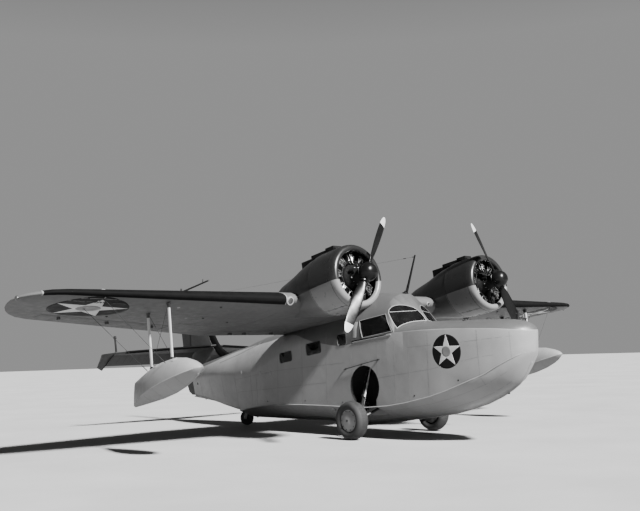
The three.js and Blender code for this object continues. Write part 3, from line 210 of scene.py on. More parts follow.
MAT = {
    "hull": painted("hull_paint", LIGHT, rough=0.42, mask=above_deck_edge, other=DECK),
    "light": painted("light_paint", LIGHT, rough=0.42),
    "deck": painted("deck_paint", DECK, rough=0.5),
    # The wing's grey is darker than the light grey of its real underside: painted shade under the wing, on
    # top and below alike
    "wing": painted("wing_paint", 0.062, rough=0.55, shine=0.16),
    "tail": painted("tail_paint", 0.036, rough=0.55, shine=0.16),
    "cowl": painted("cowl_paint", 0.11, rough=0.32, mask=above_cowl_edge, other=DARK, coat=0.06),
    # The nacelle's light belly is darker than the cowl's of the same paint: painted shade under the engine
    "nacelle": painted("nacelle_paint_shaded_belly", 0.05, rough=0.4, mask=above_cowl_edge, other=DARK),
    "dark": painted("dark_paint", DARK),
    "black": painted("black_paint", 0.003, rough=0.28, shine=0.16),
    "engine": metal("engine_metal", 0.02, 0.5),
    "case": painted("crankcase_paint", 0.004, rough=0.6, shine=0.1),
    "bright": painted("bright_paint", 0.3, rough=0.35, streak=0.05),
    "tip": painted("blade_tip_paint", 0.3, rough=0.4),
    "lens": painted("lamp_lens", 0.02, rough=0.12, streak=0.0, coat=0.4),
    "steel": metal("bare_steel", 0.3, 0.25),
    "rubber": rubber("tyre_rubber", 0.011),
    "boot": rubber("boot_rubber", 0.0015, rough=0.8, grain=90, shine=0.05),
    "leather": leather("seat_leather", 0.05),
    "glass": glass("window_glass", 0.003, 0.72),
    "panel": painted("panel_paint", 0.006, rough=0.6, shine=0.2),
    # Near black for the faces lining the hull's rooms, the wheel wells and the cowls' insides: painted shade
    # in these recesses
    "shaded_inside": painted("shaded_inside_paint", 0.006, rough=0.7, shine=0.1),
    "seam": painted("seam_shade", 0.09, rough=0.5),
    "wing_seam": painted("wing_seam_shade", 0.025, rough=0.5),
    "rivet": painted("rivet_heads", 0.12),
    "disc": painted("marking_disc", 0.004, rough=0.6, shine=0.08),
    "spot": painted("marking_centre", 0.09),
}

# The nodes that finer pieces stand in for, and the finish of each of the others by how its name starts
DRESSED = ("engine_", "cowl_", "propeller_", "float_struts_")
FINISH = {
    "hull": "hull", "cabin_door": "hull", "cockpit_canopy": "hull", "bow_hatch": "deck",
    "wheel_well": "shaded_inside",
    "windscreen_glass": "glass", "cockpit_side_glass": "glass", "cabin_window": "glass",
    "wing": "wing", "flap": "wing", "aileron": "wing", "nacelle": "nacelle", "air_scoop": "case",
    "fin": "tail", "rudder": "tail", "tailplane": "tail", "elevator": "tail", "float": "light",
    "main_gear_leg": "dark", "main_tyre": "rubber", "main_hub": "light", "tail_fork": "light",
    "tail_wheel": "rubber", "antenna_mast": "case", "pitot_head": "dark", "pilot_seat": "leather",
    "instrument_panel": "panel",
}
LINED = ("hull_bottom", "hull_cockpit", "hull_cabin", "hull_bow", "cockpit_canopy")
SMOOTHED_BY_STATIONS = ("hull_", "cabin_door", "bow_hatch", "cockpit_canopy")
SMOOTHED_BY_AREA = ("wing_", "tailplane_", "float_", "elevator_", "aileron_", "flap_", "nacelle_")
SMOOTH_ANGLE, RUDDER_ANGLE = 35, 12


# Pieces


def link(name, mesh, finish, body, smooth_angle):
    piece = bpy.data.objects.new(name, mesh)
    bpy.context.scene.collection.objects.link(piece)
    mesh.materials.clear()
    mesh.materials.append(MAT[finish])
    mesh.shade_smooth()
    if smooth_angle < 180:
        mesh.set_sharp_from_angle(angle=math.radians(smooth_angle))
    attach(piece, body)
    return piece


def welded(node):
    """The node's mesh with its split corners joined, so that it can be shaded smooth."""
    mesh = NODES[node].data.copy()
    form = bmesh.new()
    form.from_mesh(mesh)
    bmesh.ops.remove_doubles(form, verts=form.verts, dist=2e-5)
    bmesh.ops.dissolve_degenerate(form, edges=form.edges, dist=1e-5)
    form.normal_update()
    form.to_mesh(mesh)
    form.free()
    if mesh.has_custom_normals:
        mesh.normals_split_custom_set([(0, 0, 0)] * len(mesh.loops))
    return mesh


# The wheel wells' middle and radius, and the rooms' ends behind the axle with the heights of their floor
WELL_Y, WELL_Z, WELL_RADIUS, WELL_DEEP = 0.04, 1.0, 0.418, 0.4
ROOM_FROM, ROOM_TO, FLOOR_LOW, FLOOR_HIGH, FLOOR_HALF = -1.04, 4.0, 0.6, 0.75, 0.7


def inside_hull(centre, normal):
    """Whether a face of the hull lines a wheel well, the cabin or the cockpit."""
    y, z, out = centre.y - AXLE_Y, centre.z, abs(centre.x)
    if out > WELL_DEEP and math.hypot(y - WELL_Y, z - WELL_Z) < WELL_RADIUS:
        return True
    if not (ROOM_FROM < y < ROOM_TO and z > FLOOR_LOW):
        return False
    wall = normal.x * (1 if centre.x > 0 else -1) < -0.2
    ceiling = normal.z < -0.5 and z > WELL_Z
    floor = normal.z > 0.5 and z < FLOOR_HIGH and out < FLOOR_HALF
    return wall or ceiling or floor


def skins():
    """Every node that no finer piece stands in for, with smooth shading and its own finish."""
    patches = hull_patches() + canopy_patches()
    for node in sorted(NODES):
        if node.startswith(DRESSED):
            continue
        mesh = welded(node)
        finish = next(FINISH[key] for key in FINISH if node.startswith(key))
        angle = RUDDER_ANGLE if node == "rudder" else SMOOTH_ANGLE
        piece = link(f"{node}_skin", mesh, finish, body_of(node), angle)
        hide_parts(node)
        # Faces lining the wheel wells, the cabin and the cockpit take the near-black painted shade
        if node.startswith(LINED):
            mesh.materials.append(MAT["shaded_inside"])
            for face in mesh.polygons:
                if inside_hull(face.center, face.normal):
                    face.material_index = 1
        if node.startswith(SMOOTHED_BY_STATIONS):
            smooth_hull(mesh, patches)
        elif node.startswith(SMOOTHED_BY_AREA):
            smooth_by_area(mesh)


# Mesh making


def A(x, y, z):
    """A place measured in millimetres from the main axle, in the part's frame."""
    return Vector((x / 1000, y / 1000 + AXLE_Y, z / 1000))


def lerp(a, b, t):
    return a + (b - a) * t


def steps(low, high, gap):
    count = max(int(abs(high - low) / gap), 1)
    return [lerp(low, high, i / count) for i in range(count + 1)]


def circle(sides, shift=0.0):
    return [2 * math.pi * (i + shift) / sides for i in range(sides)]


def ring_about(centre, side, up, radius, sides):
    return [centre + radius * (side * math.cos(a) + up * math.sin(a)) for a in circle(sides)]


def run_of(points, i):
    """The way from the point before a point of a path to the one after it."""
    return points[min(i + 1, len(points) - 1)] - points[max(i - 1, 0)]


def table_at(rows, at):
    """The values of a table at a place between its rows; each row starts with its place."""
    for low, high in zip(rows, rows[1:]):
        if at <= high[0]:
            t = (at - low[0]) / (high[0] - low[0])
            return [lerp(a, b, max(t, 0)) for a, b in zip(low[1:], high[1:])]
    return list(rows[-1][1:])


def along_path(path, shares, place):
    """What place gives at shares of the way along each leg of a path of pairs."""
    return [place(lerp(a1, a2, t), lerp(b1, b2, t))
            for (a1, b1), (a2, b2) in zip(path, path[1:]) for t in shares]


def cap(radius, rim, top, inner):
    """The profile of a low round cover."""
    return [(0, radius), (rim, radius), (top, inner), (top, 0.0)]


class Form:
    """A mesh in the making: points and faces of one or more closed shapes."""

    def __init__(self):
        self.points = []
        self.faces = []

    def add(self, points, faces):
        start = len(self.points)
        self.points.extend(points)
        self.faces.extend([start + i for i in face] for face in faces)

    def rings(self, rings, caps=True):
        count = len(rings[0])
        faces = []
        for r in range(len(rings) - 1):
            for i in range(count):
                a, b = r * count + i, r * count + (i + 1) % count
                faces.append((a, b, b + count, a + count))
        if caps:
            faces.append(tuple(reversed(range(count))))
            faces.append(tuple(range((len(rings) - 1) * count, len(rings) * count)))
        self.add([p for ring in rings for p in ring], faces)

    def tube(self, path, radius, sides=8, end_radius=None):
        path = [Vector(p) for p in path]
        rings = []
        side = None
        for i, point in enumerate(path):
            along = run_of(path, i).normalized()
            side = side or along.orthogonal().normalized()
            side = (side - along * side.dot(along)).normalized()
            r = radius if end_radius is None else lerp(radius, end_radius, i / (len(path) - 1))
            rings.append(ring_about(point, side, along.cross(side), r, sides))
        self.rings(rings)

    def turned(self, start, axis, profile, sides=24, caps=True):
        """A turned shape: the profile's rows are a distance along the axis and a radius."""
        start, axis = Vector(start), Vector(axis).normalized()
        side = axis.orthogonal().normalized()
        up = axis.cross(side)
        self.rings([ring_about(start + axis * d, side, up, r, sides) for d, r in profile], caps=caps)

    def boss(self, sample, profile, sides, sink=0.002, caps=True):
        """A turned shape that stands on a surface; a sample is a point and a normal."""
        point, normal = sample
        self.turned(point - normal * sink, normal, profile, sides, caps)

    def strip(self, samples, width, height, sink=0.0012):
        """A thin raised strip along surface samples."""
        rings = []
        points = [point for point, normal in samples]
        for i, (point, normal) in enumerate(samples):
            side = normal.cross(run_of(points, i)).normalized() * (width / 2)
            rings.append([point - side - normal * sink, point - side * 0.7 + normal * height,
                          point + side * 0.7 + normal * height, point + side - normal * sink])
        self.rings(rings)

    def dome(self, point, normal, radius, height, sides=6):
        side = normal.orthogonal().normalized()
        up = normal.cross(side)
        self.rings([ring_about(point - normal * 0.0005, side, up, radius, sides),
                    ring_about(point + normal * height * 0.8, side, up, 0.6 * radius, sides)])

    def block(self, low, high):
        corners = [Vector((x, y, z)) for z in (low[2], high[2]) for x, y in
                   ((low[0], low[1]), (high[0], low[1]), (high[0], high[1]), (low[0], high[1]))]
        self.rings([corners[:4], corners[4:]])

    def piece(self, name, finish, smooth_angle=SMOOTH_ANGLE, body="airframe"):
        mesh = bpy.data.meshes.new(name)
        mesh.from_pydata([tuple(p) for p in self.points], [], self.faces)
        form = bmesh.new()
        form.from_mesh(mesh)
        bmesh.ops.recalc_face_normals(form, faces=form.faces)
        form.to_mesh(mesh)
        form.free()
        return link(name, mesh, finish, body, smooth_angle)


def forms(count):
    return [Form() for _ in range(count)]


def soften(piece, width, segments):
    bevel = piece.modifiers.new("edge", "BEVEL")
    bevel.width = width
    bevel.segments = segments
    bevel.limit_method = "ANGLE"
    bevel.angle_limit = math.radians(35)


class Surface:
    """The outside of some CAD nodes, to lay thin pieces on."""

    def __init__(self, *prefixes):
        points, faces = [], []
        for node in sorted(NODES):
            if node.startswith(prefixes):
                start = len(points)
                mesh = NODES[node].data
                points.extend(v.co.copy() for v in mesh.vertices)
                faces.extend([start + i for i in p.vertices] for p in mesh.polygons)
        self.tree = BVHTree.FromPolygons(points, faces)

    def hit(self, start, direction, reach=20):
        direction = Vector(direction).normalized()
        point, normal, index, distance = self.tree.ray_cast(Vector(start), direction, reach)
        if point is None:
            return None
        return point, -normal if normal.dot(direction) > 0 else normal

    def side(self, sign, y, z):
        """The side that faces starboard (-1) or port (1), at millimetres from the axle."""
        return self.hit(A(sign * 3000, y, z), (-sign, 0, 0))

    def top(self, x, y):
        return self.hit(A(x, y, 5000), DOWN)

    def under(self, x, y):
        return self.hit(A(x, y, -100), Z)


HULL = Surface("hull_", "cabin_door", "bow_hatch")
CANOPY = Surface("cockpit_canopy")
WING = Surface("wing_", "flap_", "aileron_")
FIXED_WING = Surface("wing_")
FLAP, AILERON = Surface("flap_"), Surface("aileron_")
TAIL = Surface("tailplane_", "elevator_")
ELEVATOR = Surface("elevator_")
FIN, RUDDER = Surface("fin"), Surface("rudder")
FLOATS = Surface("float_starboard", "float_port")


def kept(samples):
    return [s for s in samples if s is not None]


def rivet_row(form, samples, gap, radius, height):
    """Rivet heads at even gaps along surface samples."""
    carried = 0.0
    for (a, normal_a), (b, normal_b) in zip(samples, samples[1:]):
        length = (b - a).length
        if length > 0.4:
            continue
        while carried < length:
            t = carried / length
            form.dome(a.lerp(b, t), normal_a.lerp(normal_b, t).normalized(), radius, height)
            carried += gap
        carried -= length


def beside(samples, offset):
    """The same samples moved sideways along the surface."""
    points = [point for point, normal in samples]
    return [(point + normal.cross(run_of(points, i)).normalized() * offset, normal)
            for i, (point, normal) in enumerate(samples)]


def rib(form, samples, width, height, rivet_gap=None):
    """A strip along the samples that met the surface, with rivets beside it, where there are enough."""
    line = kept(samples)
    if len(line) > 2:
        form.strip(line, width, height)
        if rivet_gap:
            rivet_row(form, beside(line, 0.012), rivet_gap, 0.004, 0.001)


# The hull's stations, as the source has them, in millimetres from the main axle

HULL_ROWS = (
    # y, keel z, chine half width, chine z, bottom curve, side half width, side top z, crown z, crown fullness
    (-3515, 1560, 60, 1605, 1.4, 80, 1950, 2010, 1.6), (-3478, 1480, 145, 1592, 1.4, 170, 1955, 2060, 1.6),
    (-3412, 1370, 235, 1568, 1.5, 260, 1965, 2110, 1.6), (-3320, 1220, 315, 1520, 1.6, 345, 1975, 2145, 1.6),
    (-3190, 1060, 390, 1450, 1.7, 430, 1990, 2175, 1.6), (-3020, 945, 465, 1355, 1.7, 510, 2005, 2188, 1.6),
    (-2780, 815, 545, 1215, 1.65, 592, 2020, 2197, 1.6), (-2450, 680, 625, 1090, 1.6, 662, 2035, 2208, 1.6),
    (-2020, 560, 695, 930, 1.5, 708, 2040, 2218, 1.6), (-1660, 475, 737, 825, 1.4, 728, 2040, 2228, 1.6),
    (-1050, 385, 758, 700, 1.3, 742, 2038, 2240, 1.6), (-600, 335, 760, 635, 1.25, 748, 2010, 2250, 1.6),
    (-599, 335, 760, 635, 1.25, 748, 1990, 2010, 1.9), (0, 245, 760, 590, 1.2, 748, 1925, 1950, 1.9),
    (401, 205, 760, 588, 1.2, 748, 1885, 1910, 1.9), (402, 205, 760, 588, 1.2, 748, 1950, 2740, 1.9),
    (850, 160, 760, 592, 1.2, 748, 1950, 2760, 1.9), (1300, 120, 760, 600, 1.2, 748, 1935, 2690, 1.9),
    (1304, 200, 760, 600, 1.15, 748, 1935, 2690, 1.9), (2000, 220, 760, 600, 1.1, 748, 1870, 2500, 1.9),
    (2600, 220, 760, 592, 1.1, 740, 1740, 2300, 1.9), (3070, 220, 745, 575, 1.1, 722, 1560, 2245, 1.9),
    (3500, 220, 680, 540, 1.1, 686, 1390, 2195, 1.9), (4000, 220, 575, 490, 1.1, 636, 1250, 2130, 1.9),
    (4450, 220, 480, 430, 1.1, 592, 1210, 2030, 1.9), (4820, 220, 400, 370, 1.1, 553, 1195, 1930, 1.9),
    (4824, 330, 398, 420, 1.2, 552, 1195, 1929, 1.9), (5300, 360, 360, 470, 1.3, 505, 1195, 1840, 1.9),
    (5900, 475, 290, 560, 1.4, 435, 1190, 1722, 1.9), (6500, 570, 200, 640, 1.4, 325, 1150, 1610, 1.9),
    (7000, 620, 115, 680, 1.4, 205, 1090, 1520, 1.9), (7480, 665, 40, 710, 1.4, 75, 1040, 1440, 1.9),
)

CANOPY_ROWS = (
    # y, side half width, side top z, crown z
    (-1200, 736, 2020, 2500), (-900, 744, 2000, 2665), (-640, 748, 1990, 2790), (-440, 748, 1975, 2842),
    (-200, 748, 1960, 2865), (100, 748, 1955, 2892), (440, 748, 1950, 2900), (900, 748, 1950, 2810),
)
CANOPY_FULLNESS = 1.9
# The deck of the bow ends here, and the cabin begins
DECK_END = -600


# Smooth shading of the hull, from a fine surface through the stations


def runs_between_steps(rows):
    """The rows in runs; a pair of stations less than 5 mm apart is a step in the hull."""
    runs, run = [], [rows[0]]
    for row in rows[1:]:
        if row[0] - run[-1][0] < 5:
            runs.append(run)
            run = []
        run.append(row)
    return runs + [run]


def smooth_row(run, at):
    """A row between the run's rows by cubic interpolation."""
    i = 0
    while i < len(run) - 2 and at > run[i + 1][0]:
        i += 1
    low, high = run[i], run[i + 1]
    gap = high[0] - low[0]
    t = (at - low[0]) / gap

    def slope(k, column):
        before, after = run[max(k - 1, 0)], run[min(k + 1, len(run) - 1)]
        return (after[column] - before[column]) / (after[0] - before[0])
    values = [at]
    for column in range(1, len(low)):
        a, b = low[column], high[column]
        m, n = slope(i, column) * gap, slope(i + 1, column) * gap
        values.append((2 * t ** 3 - 3 * t * t + 1) * a + (t ** 3 - 2 * t * t + t) * m
                      + (3 * t * t - 2 * t ** 3) * b + (t ** 3 - t * t) * n)
    return values


def bottom_line(row):
    y, keel, chine_x, chine_z, curve = row[:5]
    return [A(s * chine_x, y, keel + (chine_z - keel) * s ** curve) for s in steps(0, 1, 0.1)]


def side_line(row):
    y, keel, chine_x, chine_z, curve, side_x, side_z = row[:7]
    return [A(lerp(chine_x, side_x, s), y, lerp(chine_z, side_z, s)) for s in steps(0, 1, 0.12)]


def crown_line(y, side_x, side_z, top, power):
    points = []
    for angle in steps(0, math.pi / 2, math.pi / 40):
        reach = max(math.cos(angle), 0) ** (2 / power)
        rise = math.sin(angle) ** (2 / power)
        points.append(A(reach * side_x, y, side_z + rise * (top - side_z)))
    return points


# Ahead of this the outside of the hull faces the nose too
STEM_Y = -5.45
# How far a face may lie from the fine surface that gives it its normals
MATCH_REACH = 0.035


class Patch:
    """A fine grid of the port half of a surface, to read smooth normals from."""

    def __init__(self, lines):
        wide = len(lines[0])
        self.points = [p for line in lines for p in line]
        corners = [r * wide + i for r in range(len(lines) - 1) for i in range(wide - 1)]
        self.faces = [(a, a + 1, a + wide + 1, a + wide) for a in corners]
        self.tree = BVHTree.FromPolygons(self.points, self.faces)
        self.normals = [Vector() for _ in self.points]
        for face in self.faces:
            a, b, c, d = (self.points[i] for i in face)
            normal = (c - a).cross(d - b)
            outward = Vector((a.x + 0.001, -0.5 if a.y < STEM_Y else 0, a.z - 1.25))
            for i in face:
                self.normals[i] += normal if normal.dot(outward) > 0 else -normal
        for point, normal in zip(self.points, self.normals):
            if point.x < 1e-4 and normal.z > 0:
                normal.x = 0
            normal.normalize()
        self.span = lines[0][0].y - 0.02, lines[-1][0].y + 0.02

    def normal_at(self, point):
        near = Vector((abs(point.x), point.y, point.z))
        place, flat, index, distance = self.tree.find_nearest(near)
        a, b, c, d = self.faces[index]
        origin = self.points[a]
        across, along = self.points[b] - origin, self.points[d] - origin
        u = min(max((place - origin).dot(across) / max(across.length_squared, 1e-12), 0), 1)
        v = min(max((place - origin).dot(along) / max(along.length_squared, 1e-12), 0), 1)
        normal = (self.normals[a].lerp(self.normals[b], u)).lerp(self.normals[d].lerp(self.normals[c], u), v)
        normal.normalize()
        return (Vector((-normal.x, normal.y, normal.z)) if point.x < 0 else normal), distance


def hull_patches():
    patches = []
    for run in runs_between_steps(HULL_ROWS):
        rows = [smooth_row(run, y) for y in steps(run[0][0], run[-1][0], 35)]
        patches.append(Patch([bottom_line(row) for row in rows]))
        sides = [side_line(row) for row in rows]
        crowns = [crown_line(row[0], *row[5:]) for row in rows]
        if run[-1][0] <= DECK_END:
            patches += [Patch(sides), Patch(crowns)]
        else:
            patches.append(Patch([side[:-1] + crown for side, crown in zip(sides, crowns)]))
    return patches


def canopy_patches():
    rows = [smooth_row(CANOPY_ROWS, y) for y in steps(CANOPY_ROWS[0][0], CANOPY_ROWS[-1][0], 35)]
    return [Patch([crown_line(*row, CANOPY_FULLNESS) for row in rows])]


def faces_round_vertices(mesh):
    around = [[] for _ in mesh.vertices]
    for face in mesh.polygons:
        for vertex in face.vertices:
            around[vertex].append(face)
    return around


def averaged(face, near, limit):
    """The normal at a corner of a face: that of the faces round it which turn little, by their areas."""
    return sum((f.normal * f.area for f in near if f.normal.dot(face.normal) > limit), Vector()).normalized()


def smooth_by_area(mesh):
    """Smooth shading in which the large faces stay flat and the small ones round off between them."""
    around = faces_round_vertices(mesh)
    normals = [(0.0, 0.0, 0.0)] * len(mesh.loops)
    for face in mesh.polygons:
        for loop in face.loop_indices:
            normals[loop] = tuple(averaged(face, around[mesh.loops[loop].vertex_index], 0.66))
    mesh.normals_split_custom_set(normals)


def smooth_hull(mesh, patches):
    """Gives a hull piece the normals of the fine surface, or its own averaged ones where it leaves that."""
    around = faces_round_vertices(mesh)
    normals = [(0.0, 0.0, 0.0)] * len(mesh.loops)
    for face in mesh.polygons:
        best, least = None, MATCH_REACH
        for patch in patches:
            if not patch.span[0] < face.center.y < patch.span[1]:
                continue
            normal, distance = patch.normal_at(face.center)
            if distance < least and normal.dot(face.normal) > 0.6:
                best, least = patch, distance
        for loop in face.loop_indices:
            vertex = mesh.vertices[mesh.loops[loop].vertex_index]
            normal = best.normal_at(vertex.co)[0] if best else Vector()
            if normal.dot(face.normal) < 0.5:
                normal = averaged(face, around[vertex.index], 0.6)
            normals[loop] = tuple(normal)
    meeting = [[] for _ in mesh.vertices]
    for loop in mesh.loops:
        meeting[loop.vertex_index].append(Vector(normals[loop.index]))
    for loop in mesh.loops:
        own = Vector(normals[loop.index])
        shared = sum((n for n in meeting[loop.vertex_index] if n.dot(own) > 0.75), Vector())
        normals[loop.index] = tuple(shared.normalized())
    mesh.normals_split_custom_set(normals)


# Engines, cowls and propellers, made along +Y from the propeller's plane

THRUST_TILT = 0.1595
PROP_RADIUS = 1.295
HUB = (1880, -1311, 3105)
BLADE_ANGLES = {"starboard": 0.563, "port": -0.425}
ORIGIN = (0, 0, 0)


def moved(form, matrix):
    form.points = [matrix @ Vector(p) for p in form.points]
    return form


def spun(form, angle):
    """The form turned about the thrust line."""
    return moved(form, Matrix.Rotation(angle, 4, "Y"))


def on_engine(form, sign):
    """The form in its place on an engine."""
    hub = Matrix.Translation(A(sign * HUB[0], HUB[1], HUB[2]))
    return moved(form, hub @ Matrix.Rotation(-THRUST_TILT, 4, "X"))


def on_ring(radius, angle, y):
    """A place round the thrust line."""
    return Vector((radius * math.sin(angle), y, radius * math.cos(angle)))


def cylinder_forms():
    """One cylinder of the engine standing along +Z: barrel with finned head, and rods with rocker boxes."""
    barrel, bright = forms(2)

    def stacked(z, profile, sides=20):
        barrel.turned((0, 0.47, z), Z, profile, sides)
    stacked(0.22, [(0, 0.082), (0.018, 0.082), (0.02, 0.07), (0.3, 0.07)])
    for i in range(13):
        stacked(0.25 + i * 0.0125, [(0, 0.088), (0.0035, 0.09), (0.007, 0.088)])
    for i in range(12):
        r = 0.104 - 0.0018 * i - (0.012 if i > 8 else 0)
        stacked(0.418 + i * 0.012, [(0, r - 0.002), (0.0032, r), (0.0064, r - 0.002)])
    stacked(0.54, [(0, 0.07), (0.02, 0.06), (0.028, 0.03)], 16)
    for s in (-1, 1):
        barrel.block((s * 0.058 - 0.026, 0.385, 0.515), (s * 0.058 + 0.026, 0.475, 0.562))
        bright.tube([(s * 0.034, 0.36, 0.265), (s * 0.056, 0.392, 0.52)], 0.0065)
        bright.tube([(s * 0.075, 0.455, 0.5), (s * 0.095, 0.405, 0.485), (s * 0.075, 0.35, 0.4),
                     (s * 0.045, 0.335, 0.315)], 0.0045, 6)
        bright.turned((s * 0.072, 0.40, 0.49), (s * 0.3, -1, 0.1),
                      [(0, 0.011), (0.03, 0.011), (0.032, 0.007)], 8)
    return barrel, bright


CRANKCASE = ((0.084, 0.0), (0.084, 0.086), (0.12, 0.098), (0.15, 0.118), (0.22, 0.145), (0.27, 0.165),
             (0.3, 0.175), (0.335, 0.215), (0.345, 0.222), (0.36, 0.235), (0.6, 0.255), (0.66, 0.3),
             (0.955, 0.3))


def make_engine(name, sign):
    dark, bright, case = forms(3)
    case.turned(ORIGIN, Y, CRANKCASE, 40)
    for turn in circle(9):
        for form, part in zip((dark, bright), cylinder_forms()):
            spun(part, turn)
            form.add(part.points, part.faces)
    for a in circle(18):
        case.turned(on_ring(0.205, a, 0.328), FORWARD, [(0, 0.009), (0.009, 0.009), (0.011, 0.005)], 6)
    for a in circle(12, 0.5):
        bright.turned(on_ring(0.158, a, 0.262), FORWARD, [(0, 0.008), (0.03, 0.008), (0.032, 0.004)], 6)
    ring = [on_ring(0.3, a, 0.325) for a in circle(36)]
    case.tube(ring + ring[:2], 0.011)
    for i, a in enumerate(circle(18, 0.35)):
        b = a + (0.1 if i % 2 else -0.14)
        bright.tube([on_ring(0.3, a, 0.318), on_ring(0.38, b, 0.3), on_ring(0.47, b, 0.35)], 0.0035, 6)
    # oil sump between the two lowest cylinders, and a magneto each side of the nose
    case.tube([(0, 0.3, -0.2), (0, 0.33, -0.34), (0, 0.42, -0.46)], 0.055, 14, 0.04)
    for s in (-1, 1):
        case.tube([(s * 0.12, 0.17, 0.075), (s * 0.14, 0.27, 0.09)], 0.042, 12)
    barrels = on_engine(dark, sign).piece(f"engine_cylinders_{name}", "engine", 40)
    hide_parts(f"engine_{name}")
    on_engine(case, sign).piece(f"engine_case_{name}", "case", 40)
    on_engine(bright, sign).piece(f"engine_rods_{name}", "steel", 40)


COWL_LINING = ((0.267, 0.4745), (0.296, 0.514), (0.335, 0.566), (0.42, 0.591), (0.64, 0.592), (0.64, 0.586),
               (0.42, 0.584), (0.342, 0.56), (0.303, 0.51), (0.275, 0.4745), (0.267, 0.4745))
COWL = ((0.262, 0.473), (0.24, 0.4745), (0.222, 0.481), (0.208, 0.494), (0.201, 0.511), (0.2, 0.53),
        (0.203, 0.548), (0.213, 0.566), (0.232, 0.583), (0.262, 0.5965), (0.31, 0.606), (0.38, 0.6095),
        (0.5, 0.61), (0.71, 0.61), (0.85, 0.606), (0.96, 0.598), (0.96, 0.588), (0.7, 0.597), (0.42, 0.596),
        (0.33, 0.57), (0.29, 0.515), (0.262, 0.473))
COWL_TAPER_FROM = 0.72


def make_baffle(name, sign):
    """The wall behind the cylinders and the lining of the cowl, near black: painted shade inside the cowl."""
    form = Form()
    form.turned(ORIGIN, Y, [(0.625, 0.31), (0.64, 0.31), (0.64, 0.575), (0.625, 0.575)], 48, caps=False)
    form.turned(ORIGIN, Y, COWL_LINING, 64, caps=False)
    on_engine(form, sign).piece(f"engine_baffle_{name}", "shaded_inside", 30)


def make_cowl(name, sign):
    form, seams, pins = forms(3)
    form.turned(ORIGIN, Y, COWL, 96, caps=False)
    cowl = on_engine(form, sign).piece(f"cowl_ring_{name}", "cowl", 40)
    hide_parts(f"cowl_{name}")
    # joints of the cowl's panels: two bands round it and five lengthwise ones with latches
    for d, r, offset in ((0.333, 0.607, 0.014), (0.94, 0.5995, -0.014)):
        samples = [(on_ring(r, a, d), on_ring(1, a, 0)) for a in circle(96) + [0]]
        seams.strip(samples, 0.008, 0.0012)
        rivet_row(pins, beside(samples, offset), 0.075, 0.007, 0.002)
    for turn in (0.5, math.pi - 0.5, math.pi, -0.5, math.pi + 0.5):
        out = on_ring(1, turn, 0)
        samples = []
        for d in steps(0.34, 0.93, 0.05):
            r = 0.61 if d < COWL_TAPER_FROM else lerp(0.61, 0.5995, (d - 0.71) / 0.25)
            samples.append((on_ring(r, turn, d), out))
        seams.strip(samples, 0.008, 0.0012)
        rivet_row(pins, beside(samples, 0.016), 0.09, 0.008, 0.0022)
        across = Vector(Y).cross(out) * 0.022
        for d in (0.45, 0.64, 0.83):
            latch = on_ring(0.611 if d < COWL_TAPER_FROM else 0.6065, turn, d)
            pins.tube([latch - across, latch + out * 0.004, latch + across], 0.0045, 6)
    on_engine(seams, sign).piece(f"cowl_seams_{name}", "case")
    on_engine(pins, sign).piece(f"cowl_fasteners_{name}", "dark", 60)


BLADE = (
    # radius, chord, thickness, pitch in degrees
    (0.06, 0.096, 0.090, 46), (0.11, 0.094, 0.086, 46), (0.17, 0.1, 0.07, 46), (0.25, 0.132, 0.054, 42),
    (0.33, 0.165, 0.042, 38), (0.45, 0.190, 0.033, 33), (0.56, 0.205, 0.027, 29), (0.7, 0.210, 0.0225, 25),
    (0.83, 0.205, 0.019, 22), (0.96, 0.193, 0.0155, 19), (1.08, 0.175, 0.013, 17), (1.16, 0.154, 0.011, 16),
    (1.22, 0.125, 0.009, 15), (1.262, 0.090, 0.007, 14.5), (1.285, 0.056, 0.006, 14),
    (PROP_RADIUS, 0.018, 0.004, 14),
)
BLADE_TIP_FROM = 1.11
BLADE_STOPS = [BLADE[0][0]] + steps(0.09, 1.10, 0.035) + [BLADE_TIP_FROM]
TIP_STOPS = (BLADE_TIP_FROM + 0.0003, 1.14, 1.17, 1.2, 1.225, 1.245, 1.262, 1.275, 1.285, 1.291, PROP_RADIUS)
SOCKET = ((0, 0.07), (0.06, 0.073), (0.075, 0.082), (0.12, 0.082), (0.125, 0.074), (0.17, 0.071),
          (0.176, 0.062))
HUB_DOME = ((-0.215, 0.0), (-0.2149, 0.012), (-0.2135, 0.035), (-0.209, 0.058), (-0.198, 0.088),
            (-0.182, 0.113), (-0.158, 0.136), (-0.128, 0.155), (-0.095, 0.168), (-0.06, 0.1755),
            (-0.02, 0.178), (0.02, 0.175), (0.022, 0.168), (0.045, 0.15), (0.07, 0.11), (0.0835, 0.084),
            (0.0835, 0.0))


def blade_ring(r):
    """The blade's section at a radius."""
    chord, thick, pitch = table_at(BLADE, r)
    cos, sin = math.cos(math.radians(pitch)), math.sin(math.radians(pitch))
    ring = []
    for angle in circle(20):
        a, b = chord / 2 * math.cos(angle), thick / 2 * math.sin(angle)
        ring.append(Vector((a * cos - b * sin, a * sin + b * cos, r)))
    return ring


